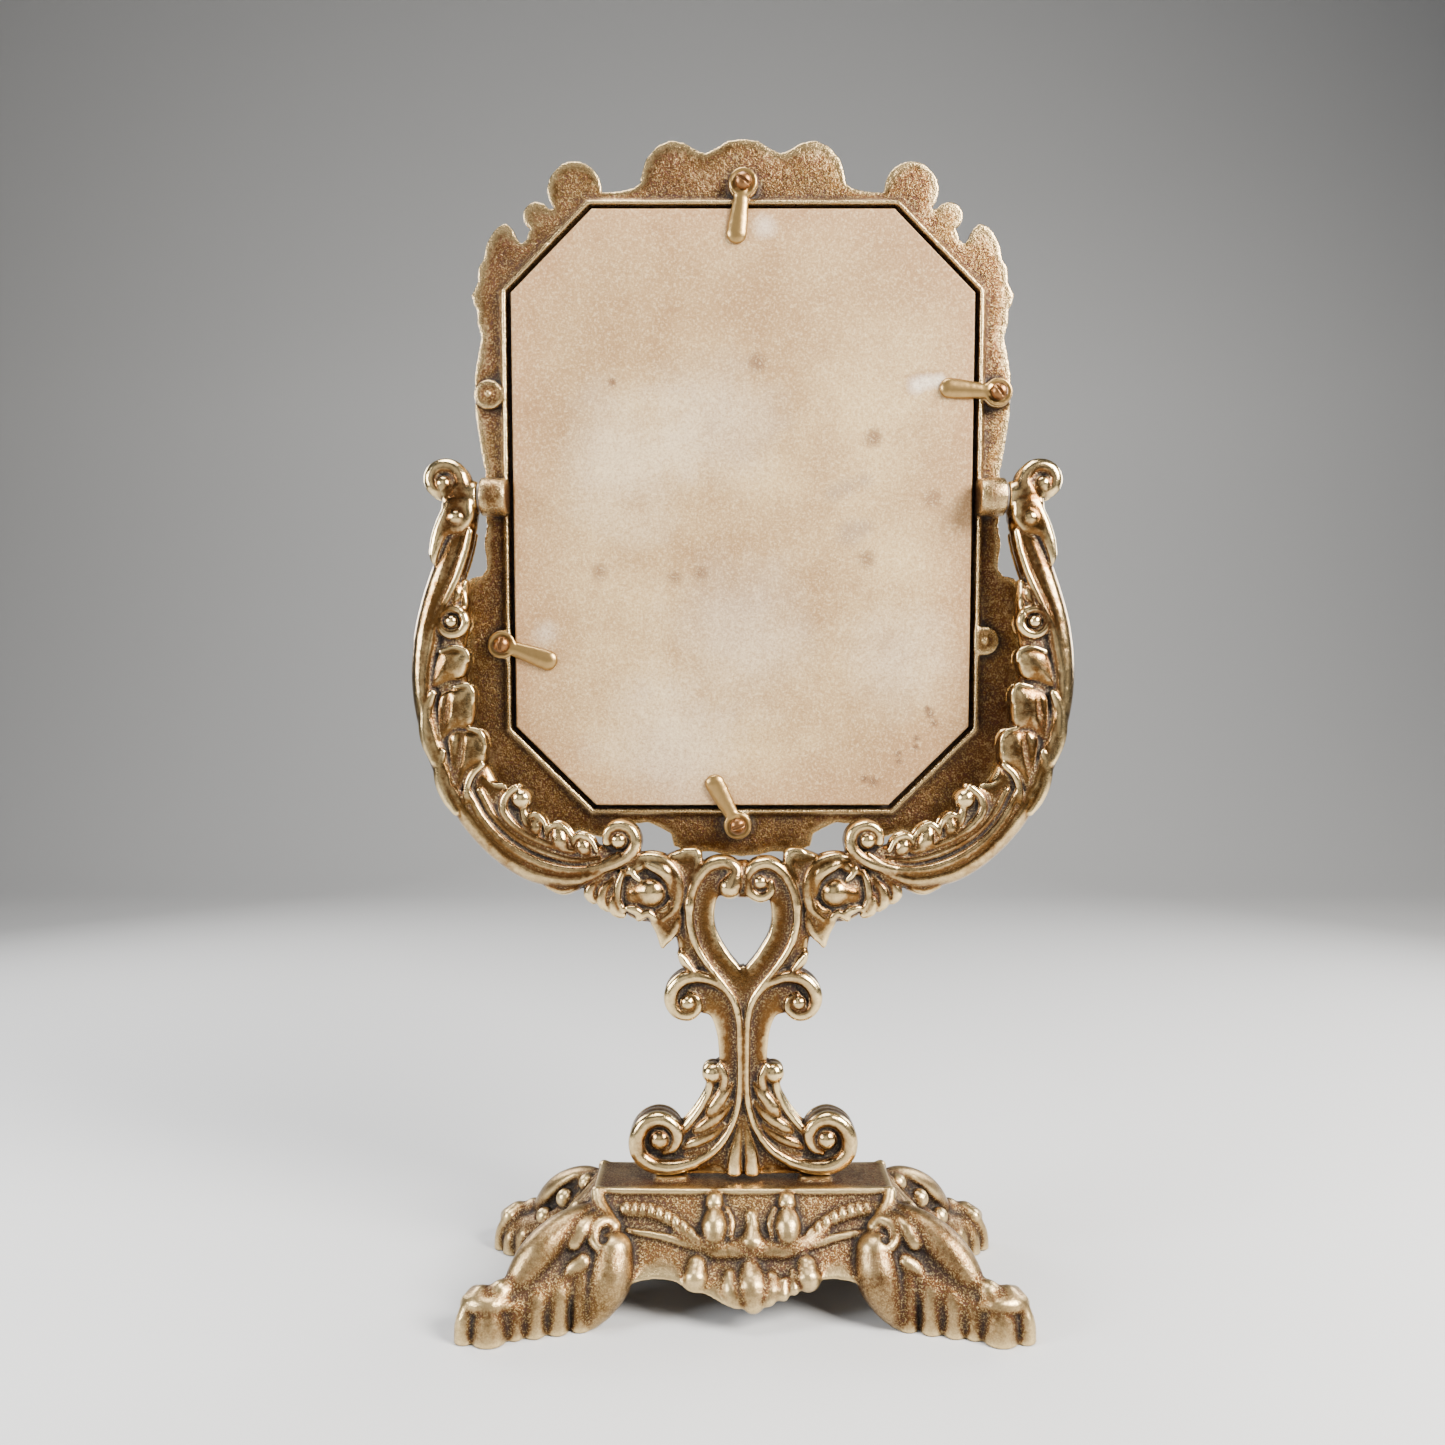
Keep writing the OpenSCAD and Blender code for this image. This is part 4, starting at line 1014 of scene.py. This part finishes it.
def maths(op, a, b=0.0):
    """One math node on numbers and sockets, in the node tree of the first socket."""
    nt = tree_of(a, b)
    n = add(nt, "ShaderNodeMath", operation=op)
    for socket, v in zip(n.inputs, (a, b)):
        if isinstance(v, bpy.types.NodeSocket):
            nt.links.new(v, socket)
        else:
            socket.default_value = v
    return n.outputs[0]


def plus(a, b):
    return maths("ADD", a, b)


def minus(a, b):
    return maths("SUBTRACT", a, b)


def times(a, b):
    return maths("MULTIPLY", a, b)


def larger(a, b):
    return maths("MAXIMUM", a, b)


def bump(nt, bsdf, height, strength, distance):
    n = add(nt, "ShaderNodeBump", Strength=strength, Distance=distance)
    nt.links.new(height, n.inputs["Height"])
    nt.links.new(n.outputs[0], bsdf.inputs["Normal"])


GOLD = (0.180, 0.090, 0.024)
BRONZE = (0.125, 0.050, 0.013)
PALE = (0.94, 0.71, 0.35)
WASH = (0.075, 0.020, 0.010)
DARK = (0.012, 0.004, 0.004)


def gilt(name, grain=1.0, rub_and_highlight=0.9, tone=1.0, flat=0.12, mottle=0.5, level=0.55, skin=0.44, dullness=0.20):
    """Gold paint over cast iron: a red-brown wash in the hollows, rubbed pale on the ridges as wear and as
    a painted highlight, and painted shade over hollows and flats.

    grain is how deep the mould's grain is, and flat is how much of it is left on smooth swellings.
    rub_and_highlight is how rubbed and highlighted the ridges are, tone darkens the paint and mottle is how
    blotchy it is. level is how bright flats are left by the painted shade against ridges, skin is how open
    a place must be to be smooth, and dullness is the roughness of the polished places."""
    m, nt, b = nodes_of(name)
    at = add(nt, "ShaderNodeTexCoord").outputs["Object"]
    fine = add(nt, "ShaderNodeAttribute", attribute_name="fine").outputs["Fac"]
    wide = add(nt, "ShaderNodeAttribute", attribute_name="wide").outputs["Fac"]
    speck = noise_tex(1500, 3, 0.65, at)
    sand = noise_tex(620, 4, 0.6, at)
    blot = noise_tex(75, 5, 0.6, at)
    broad = noise_tex(24, 3, 0.5, at)
    shape = plus(times(fine, 0.45), times(wide, 0.55))
    open_ = plus(shape, times(minus(blot, 0.5), 0.24 * mottle))
    open_ = plus(open_, times(minus(sand, 0.5), 0.20 * mottle))
    pit = ramp(open_, (0.34, 1.0), (0.49, 0.0))
    ridge = ramp(open_, (0.53, 0.0), (0.64, 1.0))
    # Smooth swellings are polished; flats and hollows keep the grain of the mould
    rough_skin = ramp(shape, (skin, 1.0), (skin + 0.07, flat))
    col = mix(ramp(broad, (0.35, 0.0), (0.65, 1.0)), *[tuple(v * tone for v in c) for c in (GOLD, BRONZE)])
    col = mix(ramp(blot, (0.50, 0.0), (0.68, 0.6 * mottle)), col, WASH)
    dust = times(ramp(speck, (0.52, 0.0), (0.60, 1.0)), rough_skin)
    fleck = times(ramp(speck, (0.40, 1.0), (0.47, 0.0)), rough_skin)
    # Ridges rubbed pale, which is also a painted highlight on them
    col = mix(times(ridge, 0.85 * rub_and_highlight), col, PALE)
    wash = mix(ramp(sand, (0.4, 0.0), (0.6, 1.0)), WASH, DARK)
    col = mix(times(pit, 0.92), col, wash)
    col = mix(times(dust, 0.5 * rub_and_highlight), col, PALE)
    col = mix(times(fleck, 0.8 * grain), col, WASH)
    # Painted shade: the colour is darkened by how enclosed each place is, most in hollows and down to level
    # on flats
    col = mix(1.0, col, ramp(open_, (0.38, 0.16), (0.47, level), (0.56, 1.0)), "MULTIPLY")
    nt.links.new(col, b.inputs["Base Color"])
    dull = larger(pit, times(fleck, 0.8))
    nt.links.new(minus(1.0, times(dull, 0.6)), b.inputs["Metallic"])
    rough = plus(dullness, times(dull, 0.36))
    rough = plus(rough, times(rough_skin, 0.10))
    nt.links.new(minus(rough, times(ridge, 0.04)), b.inputs["Roughness"])
    height = plus(speck, times(sand, 1.4))
    height = times(height, plus(times(rough_skin, 0.92), 0.04))
    bump(nt, b, height, 0.7 * grain, 0.0004)
    return m


def plain(name, colour, metallic, roughness, scale=300, spread=0.25):
    m, nt, b = nodes_of(name)
    at = add(nt, "ShaderNodeTexCoord").outputs["Object"]
    n = noise_tex(scale, 4, 0.6, at)
    dark = tuple(v * (1 - spread) for v in colour)
    nt.links.new(mix(n, colour, dark), b.inputs["Base Color"])
    b.inputs["Metallic"].default_value = metallic
    nt.links.new(plus(roughness, times(n, 0.15)), b.inputs["Roughness"])
    bump(nt, b, n, 0.2, 0.0002)
    return m


CREAM = (0.42, 0.286, 0.132)
TAN = (0.235, 0.134, 0.052)
STAIN = (0.20, 0.105, 0.040)
EDGE = (0.31, 0.170, 0.072)
FOXING = (0.10, 0.045, 0.016)
FIBRE = (0.60, 0.455, 0.26)
PULP = (0.62, 0.465, 0.265)
WHITE = (0.58, 0.48, 0.37)
WORN = (0.54, 0.46, 0.34)
SMUDGE = (0.17, 0.125, 0.095)
# Marks on the board: (x, z, radius) in metres from the origin, colour, strength
MARKS = [(0.002, 0.375, 0.030, STAIN, 0.45), (0.054, 0.388, 0.034, STAIN, 0.5),
         (-0.060, 0.378, 0.024, STAIN, 0.4), (-0.072, 0.330, 0.016, STAIN, 0.4),
         (-0.073, 0.289, 0.018, STAIN, 0.35), (0.081, 0.312, 0.014, STAIN, 0.4),
         (0.006, 0.288, 0.012, STAIN, 0.35), (0.034, 0.316, 0.010, STAIN, 0.3),
         (-0.072, 0.212, 0.014, STAIN, 0.35), (-0.052, 0.226, 0.012, STAIN, 0.3),
         (0.058, 0.194, 0.012, STAIN, 0.45), (0.030, 0.190, 0.012, STAIN, 0.3),
         (-0.010, 0.330, 0.020, WORN, 0.3), (-0.045, 0.315, 0.022, WORN, 0.3),
         (0.000, 0.250, 0.026, WORN, 0.3), (-0.030, 0.205, 0.022, WORN, 0.35),
         (0.060, 0.240, 0.018, WORN, 0.3), (0.0355, 0.3030, 0.0035, SMUDGE, 0.5),
         (0.0405, 0.3055, 0.0040, SMUDGE, 0.5), (0.0465, 0.3080, 0.0035, SMUDGE, 0.45),
         (0.0415, 0.2885, 0.0045, SMUDGE, 0.45), (0.0475, 0.2905, 0.0030, SMUDGE, 0.4),
         (0.0058, 0.3522, 0.0036, FOXING, 0.9), (0.0507, 0.3242, 0.0032, FOXING, 0.85),
         (-0.0553, 0.2735, 0.0034, FOXING, 0.8), (-0.0264, 0.2710, 0.0030, FOXING, 0.8),
         (-0.0165, 0.2726, 0.0028, FOXING, 0.8), (0.0482, 0.2776, 0.0030, FOXING, 0.7),
         (0.0737, 0.3010, 0.0030, FOXING, 0.6), (-0.0500, 0.3450, 0.0014, FOXING, 0.9),
         (0.0735, 0.2180, 0.0019, FOXING, 1), (0.0750, 0.2145, 0.0015, FOXING, 1),
         (0.0722, 0.2200, 0.0013, FOXING, 1), (0.0610, 0.2025, 0.0013, FOXING, 1),
         (0.0614, 0.1995, 0.0012, FOXING, 1), (0.0683, 0.2085, 0.0012, FOXING, 1),
         (0.0680, 0.2050, 0.0012, FOXING, 1), (0.0515, 0.1915, 0.0022, FOXING, 1),
         (0.0480, 0.1925, 0.0014, FOXING, 1), (-0.0769, 0.2495, 0.0045, WORN, 0.5),
         (0.0660, 0.3445, 0.0036, STAIN, 1), (0.0700, 0.3460, 0.0030, STAIN, 0.9),
         (0.0740, 0.3465, 0.0030, STAIN, 0.9), (0.0670, 0.3440, 0.0030, WHITE, 1),
         (0.0710, 0.3450, 0.0026, WHITE, 1), (0.0750, 0.3455, 0.0026, WHITE, 1),
         (0.0080, 0.4030, 0.0040, WHITE, 0.6)]


def board_material():
    """Tan hardboard: brown tide marks from the edges, foxing spots and a fine fibre grain."""
    m, nt, b = nodes_of("hardboard")
    at = add(nt, "ShaderNodeTexCoord").outputs["Object"]
    broad = noise_tex(13, 5, 0.6, at)
    mid = noise_tex(48, 6, 0.65, at)
    fibre = noise_tex(2000, 3, 0.7, at)
    pulp = noise_tex(950, 4, 0.75, at)
    col = mix(ramp(broad, (0.40, 0.0), (0.62, 1.0)), CREAM, TAN)
    col = mix(ramp(mid, (0.50, 0.0), (0.72, 0.5)), col, STAIN)
    # Distance in from the board's edge, for the tide marks
    sep = add(nt, "ShaderNodeSeparateXYZ")
    nt.links.new(at, sep.inputs[0])
    half_w = GLASS_HALF_W * MM
    half_h = GLASS_HALF_H * math.cos(REST_TILT) * MM
    x = maths("ABSOLUTE", sep.outputs[0])
    z = maths("ABSOLUTE", minus(sep.outputs[2], (PIVOT_Z + GLASS_MID) * MM))
    side = larger(minus(x, half_w), minus(z, half_h))
    cut = times(minus(plus(x, z), half_w + half_h - GLASS_CUT * MM), math.sqrt(0.5))
    depth = times(larger(side, cut), -1)
    depth = plus(depth, times(minus(mid, 0.5), 0.022))
    edge = times(depth, 40)
    col = mix(ramp(edge, (0.0, 0.95), (0.2, 0.6), (0.9, 0.0)), col, EDGE)
    tide = ramp(edge, (0.36, 0.0), (0.42, 0.35), (0.46, 0.0))
    col = mix(times(tide, ramp(broad, (0.45, 0.0), (0.6, 1.0))), col, STAIN)
    ragged = times(minus(mid, 0.5), 1.2)
    for mx, mz, r, colour, strength in MARKS:
        dx = minus(sep.outputs[0], mx)
        dz = minus(sep.outputs[2], mz)
        far = maths("SQRT", plus(times(dx, dx), times(dz, dz)))
        far = plus(times(far, 0.5 / r), ragged)
        col = mix(ramp(far, (0.15, strength), (0.75, 0.0)), col, colour)
    col = mix(ramp(fibre, (0.34, 0.30), (0.50, 0.0)), col, FOXING)
    col = mix(ramp(fibre, (0.56, 0.0), (0.70, 0.35)), col, FIBRE)
    col = mix(ramp(pulp, (0.38, 0.45), (0.50, 0.0)), col, STAIN)
    col = mix(ramp(pulp, (0.52, 0.0), (0.64, 0.4)), col, PULP)
    nt.links.new(col, b.inputs["Base Color"])
    b.inputs["Roughness"].default_value = 0.72
    b.inputs["Specular IOR Level"].default_value = 0.3
    bump(nt, b, plus(fibre, pulp), 0.35, 0.0003)
    return m


def glass_material():
    m, nt, b = nodes_of("silvered_glass")
    b.inputs["Base Color"].default_value = (0.88, 0.90, 0.91, 1)
    b.inputs["Metallic"].default_value = 1.0
    at = add(nt, "ShaderNodeTexCoord").outputs["Object"]
    dust = noise_tex(220, 5, 0.7, at)
    nt.links.new(ramp(dust, (0.55, 0.02), (0.85, 0.10)), b.inputs["Roughness"])
    return m


def show(ob, material, body, slot_name, *replaced):
    """Gives a piece its material, its body and the nodes that it stands in for. slot_name is not used."""
    ob.data.materials.clear()
    ob.data.materials.append(material)
    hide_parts(*replaced)
    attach(ob, body)


# ------------------------------------------------------------------ stage, light and camera

def build_stage():
    """The floor and backdrop, the lamps and the camera, in metres."""
    # A pale floor that sweeps up into the backdrop
    start, radius = 1.1, 0.9
    row = [(-3.0, 0.0), (start, 0.0)]
    row += [(start + radius * math.sin(a), radius - radius * math.cos(a)) for a in np.radians(range(6, 91,
                                                                                                    6))]
    row += [(start + radius, 3.2)]
    me = bpy.data.meshes.new("floor")
    me.from_pydata([(x, y, z) for y, z in row for x in (-4, 4)], [],
                   [(2 * i, 2 * i + 1, 2 * i + 3, 2 * i + 2) for i in range(len(row) - 1)])
    me.polygons.foreach_set("use_smooth", [True] * len(me.polygons))
    floor = link(bpy.data.objects.new("floor", me))
    m, _, b = nodes_of("floor")
    b.inputs["Base Color"].default_value = (0.42, 0.418, 0.415, 1)
    b.inputs["Roughness"].default_value = 0.6
    me.materials.append(m)
    world = bpy.data.worlds.new("studio")
    bpy.context.scene.world = world
    world.use_nodes = True
    back = world.node_tree.nodes["Background"]
    back.inputs["Color"].default_value = (0.80, 0.87, 1.0, 1)
    back.inputs["Strength"].default_value = 0.075
    for name, at, aim, size, power, tint in (
            ("key", (0.78, -0.58, 0.78), (0, 0, 0.22), 0.5, 70, (1, 0.97, 0.92)),
            ("fill", (-0.95, -0.5, 0.5), (0, 0, 0.2), 0.4, 20, (0.94, 0.97, 1)),
            ("front", (-0.35, -1.6, 0.7), (0, 0, 0.25), 1.2, 4, (1, 0.98, 0.95)),
            ("top", (-0.15, -0.05, 1.1), (0, 0, 0.2), 0.5, 15, (1, 1, 1)),
            ("rim_left", (-0.7, 0.6, 0.55), (0, 0, 0.2), 0.4, 8, (1, 1, 1)),
            ("rim_right", (0.75, 0.5, 0.5), (0, 0, 0.2), 0.4, 8, (1, 1, 1))):
        lamp = bpy.data.lights.new(name, "AREA")
        lamp.size = size
        lamp.energy = power
        lamp.color = tint
        ob = link(bpy.data.objects.new(name, lamp))
        ob.location = at
        ob.rotation_euler = (Vector(aim) - Vector(at)).to_track_quat("-Z", "Y").to_euler()
    cam = bpy.data.cameras.new("camera")
    cam.sensor_width = 36
    cam.lens = 29.398
    cam.clip_start = 0.01
    ob = link(bpy.data.objects.new("camera", cam))
    ob.location = (-0.0078, -0.451, 0.2099)
    ob.rotation_euler = (math.radians(90.6), 0, 0)
    bpy.context.scene.camera = ob


build_stage()
gilt_paint = gilt("gilt_paint")
grainy_paint = gilt("gilt_paint_grainy", grain=1.2, rub_and_highlight=0.5, tone=0.80, flat=0.45, mottle=0.8, level=0.48,
                    skin=0.50, dullness=0.24)
sandy_paint = gilt("gilt_paint_sandy", grain=0.9, rub_and_highlight=0.7, tone=0.72, flat=0.28, mottle=0.4, level=0.45,
                   skin=0.50, dullness=0.30)

show(build_yoke(), gilt_paint, "stand", "gilt_iron", "yoke_casting")
show(build_base(), sandy_paint, "stand", "gilt_iron", "base_casting")
show(build_frame(), grainy_paint, "mirror", "gilt_iron", "mirror_frame")

board_look = board_material()
show(octagon_solid("board", [(-0.5, 3.65), (0, 4.0), (0, 6.3), (-0.3, 6.65)]),
     board_look, "mirror", "hardboard", "backing_board")
show(octagon_solid("card", [(-0.5, 6.65), (-0.5, 7.15)]), plain("grey_card", (0.3, 0.28, 0.26), 0, 0.9),
     "mirror", "packing_card", "packing_card")
show(octagon_solid("glass", [(0, 7.15), (0, 9.25), (-11, 10.15)]), glass_material(),
     "mirror", "silvered_glass", "mirror_glass")
clip_look = plain("clip_brass", (0.43, 0.27, 0.10), 1.0, 0.26, 350, 0.45)
screw_look = plain("screw_bronze", (0.26, 0.125, 0.05), 1.0, 0.28, 500, 0.45)
for side, where, direction, turn in (("top", TOP_BOSS, -97.5, -35), ("right", RIGHT_BOSS, 175, -55),
                                     ("left", LEFT_BOSS, -19, 80), ("bottom", BOTTOM_BOSS, 118.5, 20)):
    show(build_clip("turn_clip_" + side, where, direction), clip_look, side + " clip", "gilt_clip",
         "clip_" + side)
    show(build_screw("round_screw_" + side, where, turn), screw_look, "mirror", "bronzed_screw",
         "clip_screw_" + side)
steel_look = plain("browned_steel", (0.22, 0.18, 0.15), 0.9, 0.4, 500, 0.3)
for node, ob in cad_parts.items():
    if node.startswith(("base_bolt", "bolt_washer", "pivot_")):
        ob.data.materials.clear()
        ob.data.materials.append(steel_look)
